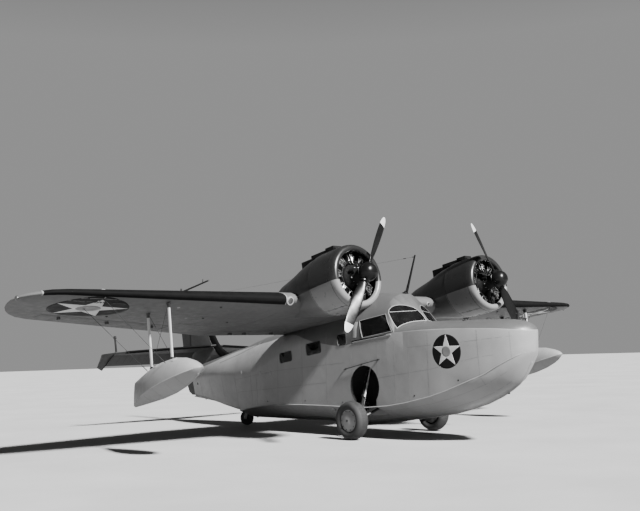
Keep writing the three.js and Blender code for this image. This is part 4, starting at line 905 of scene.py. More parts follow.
def make_propeller(name, sign):
    """Two blades with painted tips in their sockets, and the dome of the hub."""
    whole = forms(3)
    for half in (0, math.pi):
        blade, tip, socket = forms(3)
        blade.rings([blade_ring(r) for r in BLADE_STOPS])
        tip.rings([blade_ring(r) for r in TIP_STOPS])
        socket.turned((0, 0, 0.03), Z, SOCKET, 28)
        for s in (-1, 1):
            socket.turned((s * 0.079, -0.03, 0.127), Y, [(0, 0.01), (0.06, 0.01), (0.062, 0.006)], 6)
        for form, part in zip(whole, (blade, tip, socket)):
            spun(part, BLADE_ANGLES[name] + half)
            form.add(part.points, part.faces)
    black, tips, hub = whole
    hub.turned(ORIGIN, Y, HUB_DOME, 64)
    band = [(0.018, 0.1772), (0.0195, 0.1795), (0.024, 0.1795), (0.0255, 0.176)]
    hub.turned(ORIGIN, Y, band, 64, caps=False)
    body = f"propeller_{name}"
    blades = on_engine(black, sign).piece(f"propeller_blades_{name}", "black", 50, body)
    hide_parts(f"propeller_{name}")
    on_engine(tips, sign).piece(f"propeller_tips_{name}", "tip", 50, body)
    on_engine(hub, sign).piece(f"propeller_hub_{name}", "black", body=body)


# The wing's shape, as the source has it, in millimetres

HALF_SPAN, WING_BREAK, WING_TIP_START = 7470, 2650, 6750
WING_LE = (-6, 2705)
WING_CHORD, WING_SET, WING_SWEEP, WING_DIHEDRAL, WING_TAPER = 3131, 0.1833, 0.0896, 0.0145, 0.3052
WING_CAMBER = 0.02
WING_BACK = Vector((0, math.cos(WING_SET), -math.sin(WING_SET)))
WING_UP = Vector((0, math.sin(WING_SET), math.cos(WING_SET)))


def wing_point(x, s):
    """A place on the wing's camber line, at a share s of the chord."""
    out = max(abs(x) - WING_BREAK, 0)
    u = max((abs(x) - WING_TIP_START) / (HALF_SPAN - WING_TIP_START), 0)
    shrink = math.sqrt(max(1 - u * u, 0))
    straight = WING_CHORD - WING_TAPER * out
    inset = (1 - shrink) * straight * 0.4
    along = straight * shrink * s + inset
    up = straight * shrink * WING_CAMBER * 4 * s * (1 - s)
    return A(x, WING_LE[0] + WING_SWEEP * out + along * math.cos(WING_SET) + up * math.sin(WING_SET),
             WING_LE[1] + WING_DIHEDRAL * out - along * math.sin(WING_SET) + up * math.cos(WING_SET))


def wing_hit(x, s, side, surface=WING):
    """The wing's skin above (1) or below (-1) a place on its chord."""
    return surface.hit(wing_point(x, s) + WING_UP * side, -WING_UP * side, 1.0)


# Rubber boots on the leading edges


def boot_rows(surface, stations, back, up, low, high, fan, thick):
    """Rings of a boot: at each station a fan of rays finds the skin about a point inside the nose."""
    rings = []
    for centre in stations:
        outer, inner = [], []
        for i in range(fan):
            angle = math.radians(lerp(low, high, i / (fan - 1)))
            ray = -back * math.cos(angle) + up * math.sin(angle)
            found = surface.hit(centre + ray * 1.5, -ray, 1.6)
            if found is None:
                break
            lift = thick * min(1.0, 0.15 + 2.6 * min(i, fan - 1 - i) / fan)
            outer.append(found[0] + ray * lift)
            inner.append(found[0] - ray * 0.002)
        if len(outer) == fan:
            rings.append(outer + inner[::-1])
    return rings


# Reach of the boots along the wing, and each lamp in the nose by its distance out and radius
WING_BOOT = (2700, 7150)
NOSE_LAMPS = ((2610, 0.06), (1150, 0.035))
TAIL_NOSE = (
    # distance out, height and y of the leading edge
    (30, 1985, 6320), (1200, 1930, 6585), (2350, 1868, 6845),
)
FIN_NOSE = (
    # height, y of the leading edge
    (1480, 5500), (1750, 5800), (1880, 6100), (2040, 6290), (2230, 6440), (2500, 6620), (2900, 6850),
    (3150, 7000),
)
# Shares of a fin boot's reach at which its outline is found on each side
FIN_SHARES = (0.08, 0.25, 0.5, 0.75, 1)


def fin_boot(name, finish, reach, thick, low):
    """A boot up the fin's nose from a height, of rings square to the slope of its leading edge."""
    places = [(-1, s) for s in FIN_SHARES[::-1]] + [(0, 0)] + [(1, s) for s in FIN_SHARES]
    rings = []
    for z in steps(low, 3120, 40):
        y, below, above = (table_at(FIN_NOSE, z + rise)[0] for rise in (0, -60, 60))
        back = Vector((0, 120, below - above)).normalized()
        nose = A(0, y, z)
        outer, inner = [], []
        for side, share in places:
            out = Vector((side, 0, 0)) if side else -back
            place = nose + back * reach * share
            found = FIN.hit(place + out, -out, 1.2)
            skin = found[0] if found else place + out * 0.05 * abs(side)
            outer.append(skin + out * (thick if share < 1 else thick * 0.2))
            inner.append(skin - out * 0.002)
        rings.append(outer + inner[::-1])
    form = Form()
    form.rings(rings)
    form.piece(name, finish, 50)


def wing_boot_rows(sign, places, thick):
    stations = [wing_point(sign * x, 0.055) for x in places]
    return boot_rows(WING, stations, WING_BACK, WING_UP, -50, 132, 35, thick)


def make_boots():
    bands, lamps = forms(2)
    for name, sign in SIDES:
        form = Form()
        form.rings(wing_boot_rows(sign, steps(*WING_BOOT, 75), 0.006))
        form.piece(f"wing_boot_{name}", "boot", 50)
        for x in (WING_BOOT[1] + 14, WING_BOOT[0] - 14):
            bands.rings(wing_boot_rows(sign, (x - 9, x + 9), 0.008))
        form = Form()
        stations = []
        for x in steps(190, 2330, 74):
            z, y = table_at(TAIL_NOSE, x)
            stations.append(A(sign * x, y + 105, z - 8))
        form.rings(boot_rows(TAIL, stations, Vector(Y), Vector(Z), -96, 112, 33, 0.009))
        form.piece(f"tailplane_boot_{name}", "boot", 50)
        # each lamp and the ring round it lie on the foremost skin, met from ahead and a little below
        for x, radius in NOSE_LAMPS:
            ray = -WING_BACK * math.cos(math.radians(20)) - WING_UP * math.sin(math.radians(20))
            found = WING.hit(wing_point(sign * x, 0.05) + ray * 0.6, -ray, 1.0)
            lens = ((0, 1), (0.012, 0.98), (0.022, 0.75), (0.026, 0))
            ring = ((0, 1.4), (0.012, 1.32), (0.018, 1.02), (0, 1), (0, 1.4))
            lamps.boss(found, [(d, radius * share) for d, share in lens], 28, 0.004)
            bands.boss(found, [(d, radius * share) for d, share in ring], 28, 0.003, caps=False)
    lamps.piece("landing_lamps", "lens", 40)
    bands.piece("boot_clamps", "light", 40)
    fin_boot("fin_boot", "boot", 0.19, 0.009, 1560)
    fin_boot("fin_boot_edge", "bright", 0.205, 0.0025, 2000)


# Roundels: a plain star in a disc

# Place and radius: y and height on the hull's side; distance out and share of the chord on the wing
HULL_MARK = (-2085, 1645, 0.31)
WING_MARK = (6160, 0.36, 0.68)


def decal(form, project, radius_at, angles, rings, lift):
    """A thin closed sheet on a surface, from a radius for each angle."""
    points = []
    centre = project(0, 0)
    for level in (lift, -0.0006):
        points.append(centre[0] + centre[1] * level)
        for r in range(1, rings + 1):
            for a in circle(angles):
                reach = radius_at(a) * r / rings
                found = project(reach * math.sin(a), reach * math.cos(a)) or centre
                points.append(found[0] + found[1] * level)
    per_layer = 1 + angles * rings
    faces = []
    for base, flip in ((0, 1), (per_layer, -1)):
        for i in range(angles):
            j = (i + 1) % angles
            faces.append([base, base + 1 + i, base + 1 + j][::flip])
            for r in range(rings - 1):
                a, b = base + 1 + r * angles + i, base + 1 + r * angles + j
                faces.append([a, a + angles, b + angles, b][::flip])
    edge = 1 + (rings - 1) * angles
    for i in range(angles):
        j = (i + 1) % angles
        faces.append((edge + i, per_layer + edge + i, per_layer + edge + j, edge + j))
    form.add(points, faces)


def star_radius(outer):
    """Reach of a five-pointed star's edge at an angle from one of its points."""
    half = math.pi / 5
    notch_x, notch_y = outer * 0.382 * math.cos(half), outer * 0.382 * math.sin(half)

    def reach(angle):
        turn = angle % (2 * half)
        turn = min(turn, 2 * half - turn)
        return outer * notch_y / (math.cos(turn) * notch_y - math.sin(turn) * (notch_x - outer))
    return reach


def make_roundel(name, project, radius, lift):
    for word, finish, reach, angles, rings, layer in (
            ("disc", "disc", lambda a: radius, 60, 14, 1),
            ("star", "bright", star_radius(radius * 0.985), 60, 14, 2),
            ("centre", "spot", lambda a: radius * 0.31, 36, 6, 3)):
        form = Form()
        decal(form, project, reach, angles, rings, lift * layer)
        form.piece(f"roundel_{word}_{name}", finish, 180)


def clear_of_marks(sample, margin=0.02):
    """Whether a place on the skin lies outside the roundels."""
    point = sample[0]
    hull_y, hull_z, hull_radius = HULL_MARK
    on_hull = math.hypot(point.y - AXLE_Y - hull_y / 1000, point.z - hull_z / 1000) < hull_radius + margin
    middle = wing_point(WING_MARK[0], WING_MARK[1])
    on_wing = math.hypot(abs(point.x) - middle.x, point.y - middle.y) < WING_MARK[2] + margin
    return not (on_hull and abs(point.x) < 1 or on_wing and point.z > 2.2)


def make_roundels():
    for name, sign in SIDES:
        def on_side(u, v):
            return HULL.side(sign, HULL_MARK[0] - sign * u * 1000, HULL_MARK[1] + v * 1000)
        make_roundel(f"hull_{name}", on_side, HULL_MARK[2], 0.0008)
        centre = wing_point(sign * WING_MARK[0], WING_MARK[1])
        for side, word, lift in ((1, "above", 0.0034), (-1, "below", 0.0008)):
            def on_wing(u, v):
                start = centre + Vector(X) * u - WING_BACK * v + WING_UP * side
                return FIXED_WING.hit(start, -WING_UP * side, 1.3) or WING.hit(start, -WING_UP * side, 1.3)
            make_roundel(f"wing_{word}_{name}", on_wing, WING_MARK[2], lift)


# Seams and rivets


def segments(samples, jump):
    """Breaks a line of samples where the surface is missing, steps away or carries a roundel."""
    runs, run = [], []
    for sample in samples:
        if sample is not None and not clear_of_marks(sample):
            sample = None
        if sample is None or (run and (sample[0] - run[-1][0]).length > jump):
            runs.append(run)
            run = []
        if sample is not None:
            run.append(sample)
    return [run for run in runs + [run] if len(run) > 1]


# Frames of the hull: y, and the heights between which the plates' joint shows
HULL_FRAMES = (
    (-3266, 1500, 2000), (-2720, 1000, 2060), (-1662, 760, 2060), (-1173, 700, 2060), (-805, 660, 1900),
    (-330, 620, 1860), (401, 600, 1900), (1180, 600, 2100), (1985, 600, 2100), (2860, 600, 2100),
    (3790, 560, 2000), (4052, 520, 2050), (4822, 420, 1850), (5480, 520, 1700), (6180, 600, 1560),
    (6820, 680, 1450),
)
# Lengthwise joints: pairs of y and height on the sides, and shares of the chine's half width below
HULL_JOINTS = (
    ((-3300, 1880), (-2410, 1804), (-1150, 1740)),
    ((-2980, 1560), (-2715, 1530), (-1724, 1332), (-350, 1170), (380, 1105)),
    ((620, 1480), (2950, 1330), (4800, 1120)),
    ((1200, 1075), (2960, 945), (4800, 820)),
)
BOTTOM_JOINTS = (0.4, 0.75)


def joined(form, pins, samples, jump, gap, offsets=(0.014,)):
    for run in segments(samples, jump):
        form.strip(run, 0.006, 0.0009)
        for offset in offsets:
            rivet_row(pins, beside(run, offset), gap, 0.005, 0.0012)


def make_hull_seams():
    seams, pins = forms(2)
    for name, sign in SIDES:
        def on_side(y, z):
            return HULL.side(sign, y, z)
        for y, low, high in HULL_FRAMES:
            ring = [on_side(y, z) for z in steps(low, high, 50)]
            ring = [s if s and abs(s[0].x) > 0.05 else None for s in ring]
            joined(seams, pins, ring, 0.16, 0.05, (0.014, -0.014))
        for path in HULL_JOINTS:
            line = []
            for leg in zip(path, path[1:]):
                line += along_path(leg, steps(0, 1, 80 / abs(leg[1][0] - leg[0][0])), on_side)
            joined(seams, pins, line, 0.22, 0.06)
        for part in BOTTOM_JOINTS:
            line = [HULL.under(sign * table_at(HULL_ROWS, y)[1] * part, y) for y in steps(-3200, 4780, 90)]
            joined(seams, pins, line, 0.16, 0.07)
    seams.piece("hull_seams", "seam")
    pins.piece("hull_rivets", "rivet", 60)


# Places of the outer wing's ribs, of which these lie ahead of the aileron, and of its spars
WING_RIBS, AILERON_SPAN, WING_SPARS = (3300, 3950, 4600, 5250, 5900, 6450, 6900), (3900, 6700), (0.33, 0.62)


def make_wing_seams():
    seams, pins = forms(2)
    for name, sign in SIDES:
        for side in (1, -1):
            def on_wing(x, s):
                return wing_hit(sign * x, s, side, FIXED_WING)
            for x in WING_RIBS:
                hinge = 0.69 if AILERON_SPAN[0] < x < AILERON_SPAN[1] else 0.93
                joined(seams, pins, [on_wing(x, s) for s in steps(0.14, hinge, 0.05)], 0.3, 0.08)
            for s in WING_SPARS:
                joined(seams, pins, [on_wing(x, s) for x in steps(2680, 7050, 150)], 0.4, 0.08)
            # the bolted joint between the centre and the outer wing
            for run in segments([on_wing(WING_BREAK + 1, s) for s in steps(0.14, 0.985, 0.035)], 0.3):
                seams.strip(run, 0.04, 0.002)
                rivet_row(pins, beside(run, 0.011), 0.05, 0.006, 0.002)
    seams.piece("wing_seams", "wing_seam")
    pins.piece("wing_rivets", "wing_seam", 60)


# Hull trim


def chine_ring(base, sign, reach, low, rise, foot):
    """A section of a chine strip: out by reach from its base, with its foot up the side."""
    return [base, base + Vector((sign * reach, 0, low)), base + Vector((sign * reach, 0, 0.001)),
            base + Vector((sign * foot, 0, rise))]


# Sections of the shoes along the keels of the hull and of a float: x, and z above the keel
KEEL_SHOE = ((-26, 12), (-13, -9), (13, -9), (26, 12))
FLOAT_SHOE = ((-12, 7), (-6, -5), (6, -5), (12, 7))


def make_spray_rails():
    """The bright strip along each chine, and the shoe along the keel."""
    form, shoe = forms(2)
    for name, sign in SIDES:
        for low, high in ((-3508, 4800), (4840, 7300)):
            rings = []
            for y in steps(low, high, 60):
                keel, half, z = table_at(HULL_ROWS, y)[:3]
                reach = (5 + min((y - HULL_ROWS[0][0]) / 200, 1) * 9) / 1000
                rings.append(chine_ring(A(sign * (half - 5), y, z + 1), sign, reach, -0.004, 0.014, 0.003))
            form.rings(rings)
    form.piece("spray_rails", "light", 30)
    for low, high in ((-3440, 1298), (1310, 4750), (5240, 7440)):
        shoe.rings([[A(x, y, table_at(HULL_ROWS, y)[0] + z) for x, z in KEEL_SHOE]
                    for y in steps(low, high, 70)])
    shoe.piece("keel_shoe", "light", 30)


def frame_loop(form, corners, normal, width, height):
    """A raised frame round an opening: corners are its inner edge, in order."""
    middle = sum(corners, Vector()) / len(corners)
    rings = []
    for i, corner in enumerate(corners):
        before = (corner - corners[i - 1]).normalized()
        after = (corners[(i + 1) % len(corners)] - corner).normalized()
        out = (normal.cross(before + after)).normalized()
        if out.dot(corner - middle) < 0:
            out = -out
        outer = corner + out * width / max(math.cos(before.angle(after) / 2), 0.5)
        rings.append([corner - normal * 0.003, corner + normal * height, outer + normal * height * 0.8,
                      outer - normal * 0.003])
    form.rings(rings + [rings[0]], caps=False)


def rounded(width, height, corner, arc=5):
    points = []
    for cx, cz, start in ((1, -1, -90), (1, 1, 0), (-1, 1, 90), (-1, -1, 180)):
        for i in range(arc + 1):
            a = math.radians(start + 90 * i / arc)
            points.append((cx * (width / 2 - corner) + corner * math.cos(a),
                           cz * (height / 2 - corner) + corner * math.sin(a)))
    return points


BODY_TILT = 0.13
# y, z, width and height of each window; y and z of the corners of the cockpit's side windows
CABIN_WINDOWS = ((2560, 1628, 440, 215), (1590, 1795, 480, 245), (695, 1945, 265, 220))
SIDE_WINDOW = ((200, 2305), (-500, 2405), (-752, 2066), (60, 1968))
# The windscreen's pane on the starboard side: foot, outward normal, and corners across and up from the foot
SCREEN_FOOT = A(0, -1030, 2260)
SCREEN_NORMAL = Vector((-0.385, -0.7, 0.6)).normalized()
SCREEN_OPENING = ((40, 0), (163, -2), (302, -14), (417, -42), (529, -85), (600, -125), (664, -170),
                  (705, -50), (737, 90), (752, 200), (728, 285), (665, 352), (590, 388), (503, 402),
                  (410, 396), (319, 374), (230, 334), (165, 280), (98, 175), (58, 80))
QUARTERS = (0, 0.25, 0.5, 0.75)


def make_window_frames():
    frames, seals, pins = forms(3)
    cos, sin = math.cos(BODY_TILT), math.sin(BODY_TILT)
    for name, sign in SIDES:
        out = Vector((sign, 0, 0))
        for y, z, width, height in CABIN_WINDOWS:
            corners = []
            for a, b in rounded(width + 6, height + 6, 48):
                along, rise = a * cos + b * sin, b * cos - a * sin
                # met a little outside the opening, because nothing is there to meet inside it
                found = HULL.side(sign, y + along * 1.09, z + rise * 1.14)
                corners.append(A(found[0].x * 1000 if found else sign * 745, y + along, z + rise))
            frame_loop(frames, corners, out, 0.024, 0.004)
            frame_loop(seals, corners, out, 0.006, 0.0065)
            middle = sum(corners, Vector()) / len(corners)
            ring = [(c + (c - middle).normalized() * 0.017 + out * 0.003, out) for c in corners + corners[:1]]
            rivet_row(pins, ring, 0.04, 0.004, 0.0015)
    frames.piece("cabin_window_frames", "hull", 30)
    seals.piece("cabin_window_seals", "rubber", 30)
    pins.piece("cabin_window_rivets", "rivet", 60)


def make_screen_frames():
    """Frames of the windscreen's panes with a thin bar across each, and of the cockpit's side windows."""
    form = Form()
    for name, sign in SIDES:
        normal = Vector((-sign * SCREEN_NORMAL.x, SCREEN_NORMAL.y, SCREEN_NORMAL.z))
        across = Vector((sign * 0.7, 0.385, 0)).normalized()
        up = across.cross(normal) * -sign

        def on_pane(u, v):
            return SCREEN_FOOT + across * u / 1000 + up * v / 1000

        def on_canopy(y, z):
            side_x, side_z, top = table_at(CANOPY_ROWS, y)
            rise = min(max((z - side_z) / (top - side_z), 0), 1)
            return A(sign * side_x * (1 - rise ** CANOPY_FULLNESS) ** (1 / CANOPY_FULLNESS), y, z)
        frame_loop(form, [on_pane(u, v) for u, v in SCREEN_OPENING], normal, 0.011, 0.005)
        form.tube([on_pane(170, 262) - normal * 0.009, on_pane(730, 238) - normal * 0.009], 0.005)
        loop = along_path(SIDE_WINDOW + SIDE_WINDOW[:1], QUARTERS, on_canopy)
        out = (loop[4] - loop[0]).cross(loop[8] - loop[0]).normalized() * -sign
        frame_loop(form, loop, out, 0.009, 0.004)
    form.piece("screen_frames", "light", 30)


def make_sill_rails():
    """The rail under each cockpit window, the cover plate behind it and the grab rail on the hull side."""
    form, rail = forms(2)
    for name, sign in SIDES:
        out = Vector((sign, 0, 0))

        def on_rail(t):
            return HULL.side(sign, lerp(635, -411, t), lerp(1339, 1531, t))[0]
        form.strip(kept(HULL.side(sign, y, 1952 - 0.105 * y - 34) for y in steps(-740, 360, 70)), 0.022, 0.01)
        line = kept(HULL.side(sign, 300, z) or CANOPY.side(sign, 300, z) for z in steps(1975, 2290, 45))
        form.strip(line, 0.12, 0.003)
        rail.tube([on_rail(t) + out * (0.03 if 0.04 < t < 0.96 else 0.004) for t in steps(0, 1, 0.05)],
                  0.007, 10)
        for t in (0.05, 0.5, 0.95):
            foot = on_rail(t)
            rail.tube([foot, foot + out * 0.03], 0.007)
            rail.boss((foot, out), [(0, 0.018), (0.005, 0.018), (0.006, 0.009)], 12, 0.001)
    form.piece("cockpit_sills", "light", 50)
    rail.piece("grab_rails", "dark", 50)


def make_deck_fittings():
    """Bitt and cleats on the bow's deck, and the hatch's handle and hinges."""
    form, lid = forms(2)
    point, normal = HULL.top(0, -3190)
    form.boss((point, normal), [(0, 0.05), (0.012, 0.05), (0.016, 0.028), (0.14, 0.024), (0.155, 0.034),
                                (0.166, 0.032), (0.17, 0.0)], 20, 0.004)
    form.tube([point + normal * 0.1 + Vector((x, 0, 0)) for x in (-0.075, 0.075)], 0.01, 10)
    for y, half in ((-2000, 0.07), (-3320, 0.05)):
        point, normal = HULL.top(0, y)
        for k in (-0.03, 0.03):
            form.tube([point + Vector((0, k, 0)) + normal * rise for rise in (-0.003, 0.028)], 0.008)
        form.tube([point + Vector((0, half * share, 0)) + normal * rise
                   for share, rise in ((-1, 0.04), (-0.5, 0.03), (0.5, 0.03), (1, 0.04))], 0.008)
    form.piece("deck_fittings", "dark", 50)
    for x in (-180, 180):
        point, normal = HULL.top(x, -2105)
        lid.tube([point + Vector((end, 0, 0.006)) for end in (-0.04, 0.04)], 0.009, 10)
    point, normal = HULL.top(0, -2540)
    handle = ((-0.06, 0), (-0.055, 0.025), (0.055, 0.025), (0.06, 0))
    lid.tube([point + Vector((x, 0, z)) for x, z in handle], 0.006)
    edge = [(-245, -2605), (245, -2605), (245, -2095), (-245, -2095), (-245, -2605)]
    rivet_row(lid, kept(along_path(edge, QUARTERS, HULL.top)), 0.045, 0.005, 0.0014)
    lid.piece("bow_hatch_fittings", "dark", 50, "bow_hatch")


def make_door_fittings():
    """Hinges, handle and edge rivets of the cabin door."""
    form = Form()

    def on_door(y, z):
        return HULL.side(1, y, z)
    for z in (1060, 1320, 1580):
        point, normal = on_door(3010, z)
        form.tube([point + Vector((0.006, -0.004, rise)) for rise in (-0.04, 0.04)], 0.008, 10)
        form.strip([on_door(y, z) for y in (3020, 3060, 3110)], 0.05, 0.003)
    base = on_door(3640, 1330)[0]
    form.boss((base, Vector(X)), [(0, 0.03), (0.006, 0.03), (0.009, 0.014), (0.028, 0.012)], 18)
    form.tube([base + Vector(p) for p in ((0.028, 0.01, 0), (0.034, -0.04, 0.004), (0.03, -0.11, 0.01))],
              0.009, 10, 0.006)
    outline = [(3012, 952), (3698, 952), (3698, 1698), (3012, 1698), (3012, 952)]
    rivet_row(form, kept(along_path(outline, (0, 0.2, 0.4, 0.6, 0.8), on_door)), 0.05, 0.005, 0.0014)
    form.piece("cabin_door_fittings", "rivet", 50, "cabin_door")


# Float struts and their wires

FLOAT_X = 5000
STRUTS = (
    # foot and top, each y and z
    ((240, 1500), (380, 2790)),
    ((920, 1350), (1090, 2640)),
)
STRUT_HALF = (17, 42)
SIDE_WIRES = (
    # foot: distance out, y, z; top: distance out, y, z
    ((5190, 250, 1640), (6230, 470, 2740)),
    ((5140, 930, 1500), (6280, 1080, 2600)),
)
CROSS_WIRES = (((935, 1500), (366, 2600)), ((260, 1690), (1072, 2480)))
WIRE_RADIUS = 0.0035
# y and z along the keel of a float; y, half width and z along its chines
FLOAT_KEEL = ((-560, 1405), (-420, 1307), (-190, 1195), (110, 1090), (510, 990), (910, 918), (1310, 850),
              (1520, 816))
FLOAT_CHINE = ((-560, 105, 1485), (-420, 175, 1440), (-190, 235, 1372), (110, 268, 1285), (510, 262, 1172),
               (910, 215, 1060), (1310, 120, 930), (1500, 46, 860))


def make_float_struts(name, sign):
    struts, cuffs, wires = forms(3)
    for foot, top in STRUTS:
        def strut_ring(z, grow=1.0):
            """A level section of the strut: blunt in front, drawn out behind."""
            y = lerp(foot[0], top[0], (z - foot[1]) / (top[1] - foot[1]))
            return [A(sign * FLOAT_X + STRUT_HALF[0] * math.sin(a) * (1 - 0.28 * max(math.cos(a), 0)) * grow,
                      y + STRUT_HALF[1] * math.cos(a) * grow, z) for a in circle(20)]
        under = WING.hit(A(sign * FLOAT_X, top[0], 1800), Z)[0].z * 1000
        over = FLOATS.hit(A(sign * FLOAT_X, foot[0], 2400), DOWN)[0].z * 1000
        struts.rings([strut_ring(z) for z in steps(over - 12, under + 6, 60)])
        for low, high, grows in ((under - 75, under + 4, (1.12, 1.3, 1.75)),
                                 (over - 10, over + 34, (1.8, 1.3, 1.12))):
            cuffs.rings([strut_ring(lerp(low, high, t), grow) for t, grow in zip((0, 0.6, 1), grows)])
    for wire in CROSS_WIRES:
        wires.tube([A(sign * FLOAT_X, y, z) for y, z in wire], WIRE_RADIUS)
    for (x1, y1, z1), (x2, y2, z2) in SIDE_WIRES:
        low, high = A(sign * x1, y1, z1), A(sign * x2, y2, z2)
        along = (high - low).normalized()
        under = WING.hit(low, along, 3)[0]
        foot = FLOATS.hit(high, -along, 3)
        low = foot[0] if foot else low
        wires.tube([low - along * 0.003, under + along * 0.003], WIRE_RADIUS)
        wires.tube([low + along * 0.02, low + along * 0.14], 0.008)
        wires.turned(under - Vector((0, 0, 0.012)), Z, [(0, 0.012), (0.004, 0.022), (0.016, 0.026)], 14)
    main = struts.piece(f"struts_{name}", "bright", 50)
    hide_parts(f"float_struts_{name}")
    cuffs.piece(f"strut_cuffs_{name}", "dark", 50)
    wires.piece(f"float_wires_{name}", "dark", 50)


def make_float_trim(name, sign):
    """Chine strips, keel shoe, plate joints and two hand-hole covers on a float."""
    trim, seams, fittings = forms(3)
    middle = sign * FLOAT_X
    for side in (-1, 1):
        rings = []
        for y in steps(-555, 1495, 55):
            half, z = table_at(FLOAT_CHINE, y)
            rings.append(chine_ring(A(middle + side * (half - 3), y, z), side, 0.009, -0.005, 0.012, 0.002))
        trim.rings(rings)
    trim.rings([[A(middle + x, y, table_at(FLOAT_KEEL, y)[0] + z) for x, z in FLOAT_SHOE]
                for y in steps(-555, 1510, 60)])
    for y in (-190, 110, 510, 910, 1310):
        half = table_at(FLOAT_CHINE, y)[0]
        for side in (-1, 1):
            for first, height, way in ((0, 2300, DOWN), (0.06, 300, Z)):
                run = kept(FLOATS.hit(A(middle + side * half * s, y, height), way)
                           for s in steps(first, 0.94, 0.12))
                seams.strip(run, 0.005, 0.0008)
                rivet_row(seams, beside(run, 0.011), 0.05, 0.004, 0.001)
    for y in (40, 640):
        point, normal = FLOATS.hit(A(sign * (FLOAT_X + 90), y, 2300), DOWN)
        fittings.boss((point, normal), cap(0.055, 0.004, 0.006, 0.048), 24)
        side = normal.orthogonal().normalized()
        for place in ring_about(point + normal * 0.004, side, normal.cross(side), 0.045, 8):
            fittings.dome(place, normal, 0.004, 0.003)
    trim.piece(f"float_trim_{name}", "light", 30)
    seams.piece(f"float_seams_{name}", "seam", 50)
    fittings.piece(f"float_covers_{name}", "light", 40)


# Landing gear

AXLE_X, WHEEL_Z = 1160, 370
TYRE_RADIUS, TYRE_RIBS = 0.3702, (-0.05, -0.025, 0, 0.025, 0.05)


def make_gear(name, sign):
    """The leg's oleo rod with its collars, a bright rod beside it as a painted highlight of the sun on the
    leg, and the wheel's bolts, rim and tread ribs.
    """
    oleo, highlight_rod, leg, bolts, rim, ribs = forms(6)
    top, knee, axle = A(sign * 485, 190, 1270), A(sign * 760, 70, 800), A(sign * 960, 0, WHEEL_Z)
    down_leg = (knee - top).normalized()
    oleo.tube([top.lerp(knee, 0.42), top.lerp(knee, 0.95)], 0.0395, 20)
    # Bright rod along the front of the leg: a painted highlight that stands for the sun's glint on the dark
    # leg
    front = Vector((sign * 0.022, -0.052, 0))
    highlight_rod.tube([top.lerp(knee, t) + front for t in (-0.22, 0.55, 1.0)], 0.013, 12)
    highlight_rod.turned(top.lerp(knee, 0.42) + front, down_leg, [(0, 0.02), (0.05, 0.02)], 12)
    for t in (0.1, 0.4, 0.97):
        leg.turned(top.lerp(knee, t) - down_leg * 0.016, down_leg,
                   [(0, 0.04), (0.003, 0.05), (0.029, 0.05), (0.032, 0.04)], 20)
    side = Vector((0, -0.042, 0))
    leg.tube([top + side, top.lerp(knee, 0.5) + side * 1.5, knee + side * 1.2, axle + side * 1.1], 0.006)
    oleo.piece(f"oleo_{name}", "case", 40)
    highlight_rod.piece(f"gear_highlight_rod_{name}", "bright", 40)
    leg.piece(f"gear_fittings_{name}", "dark", 40)
    wheel = f"main_wheel_{name}"
    middle, out = A(sign * AXLE_X, 0, WHEEL_Z), Vector((sign, 0, 0))
    for place in ring_about(middle + out * 0.094, Vector(Y), Vector(Z), 0.185, 10):
        bolts.turned(place, out, [(0, 0.009), (0.012, 0.009), (0.014, 0.005)], 6)
    bolts.turned(middle + out * 0.124, out, [(0, 0.022), (0.009, 0.022), (0.013, 0.016), (0.013, 0.0)], 18)
    edge = [(0.0, 0.224), (0.006, 0.221), (0.01, 0.206), (0.007, 0.19), (0.0, 0.224)]
    rim.turned(middle + out * 0.083, out, edge, 48, caps=False)
    for offset in TYRE_RIBS:
        radius = TYRE_RADIUS - 0.0055 * abs(offset) / 0.063
        profile = [(offset - 0.009, radius - 0.006), (offset - 0.007, radius), (offset + 0.007, radius),
                   (offset + 0.009, radius - 0.006)]
        ribs.turned(middle, X, profile + profile[:1], 72, caps=False)
    bolts.piece(f"hub_bolts_{name}", "dark", 40, wheel)
    rim.piece(f"rim_edge_{name}", "light", 40, wheel)
    ribs.piece(f"tyre_ribs_{name}", "rubber", 50, wheel)


# Tail and aerials

MAST_FOOT, MAST_HEAD = (0, -470, 2800), (0, -758, 3575)
AERIAL_START, AERIAL_END_Y = (0, -745, 3545), 7230
# The rudder's hinge line leans back above its foot; the ribs of rudder and fin reach close to it
HINGE_FOOT_Z, HINGE_LEAN = 650, 0.115
RUDDER_RIBS_FROM, FIN_RIBS_TO = 7420, 7330
# The tailplane's ribs start behind its boot, which slants back with the distance out
TAIL_RIBS_FROM, TAIL_SLANT = 6520, 0.222


def sleeve(form, path, radius, sides, end_radius=None):
    form.tube([A(*p) for p in path], radius / 1000, sides, None if end_radius is None else end_radius / 1000)


def make_aerials():
    """Mast on the cabin top with the aerial led back to the fin, and the posts near the tailplane's tips."""
    form, wires, knobs = forms(3)
    sleeve(form, [MAST_FOOT, MAST_HEAD], 27, 16, 16)
    form.boss(CANOPY.top(0, -462), [(0, 0.07), (0.01, 0.07), (0.016, 0.045), (0.05, 0.03)], 24, 0.006)
    anchor = (0, AERIAL_END_Y, FIN.top(0, AERIAL_END_Y)[0].z * 1000 - 4)
    sleeve(wires, [AERIAL_START, anchor], 1.6, 6)
    sleeve(wires, [(0, -640, 3255), (120, -330, 2890)], 1.6, 6)
    for share in (0.0, 0.03, 0.97):
        x, y, z = (lerp(a, b, share) for a, b in zip(AERIAL_START, anchor))
        sleeve(knobs, [(0, y, z), (0, y + 70, z - 2)], 7, 10)
    for name, sign in SIDES:
        sleeve(form, [(sign * 2500, 7058, 1850), (sign * 2500, 7128, 2228)], 24, 14, 22)
        sleeve(knobs, [(sign * 2500, 7122, 2200), (sign * 2500, 7134, 2262)], 38, 14, 30)
    form.piece("aerial_posts", "case", 40)
    wires.piece("aerial_wires", "dark", 60)
    knobs.piece("aerial_knobs", "case", 40)


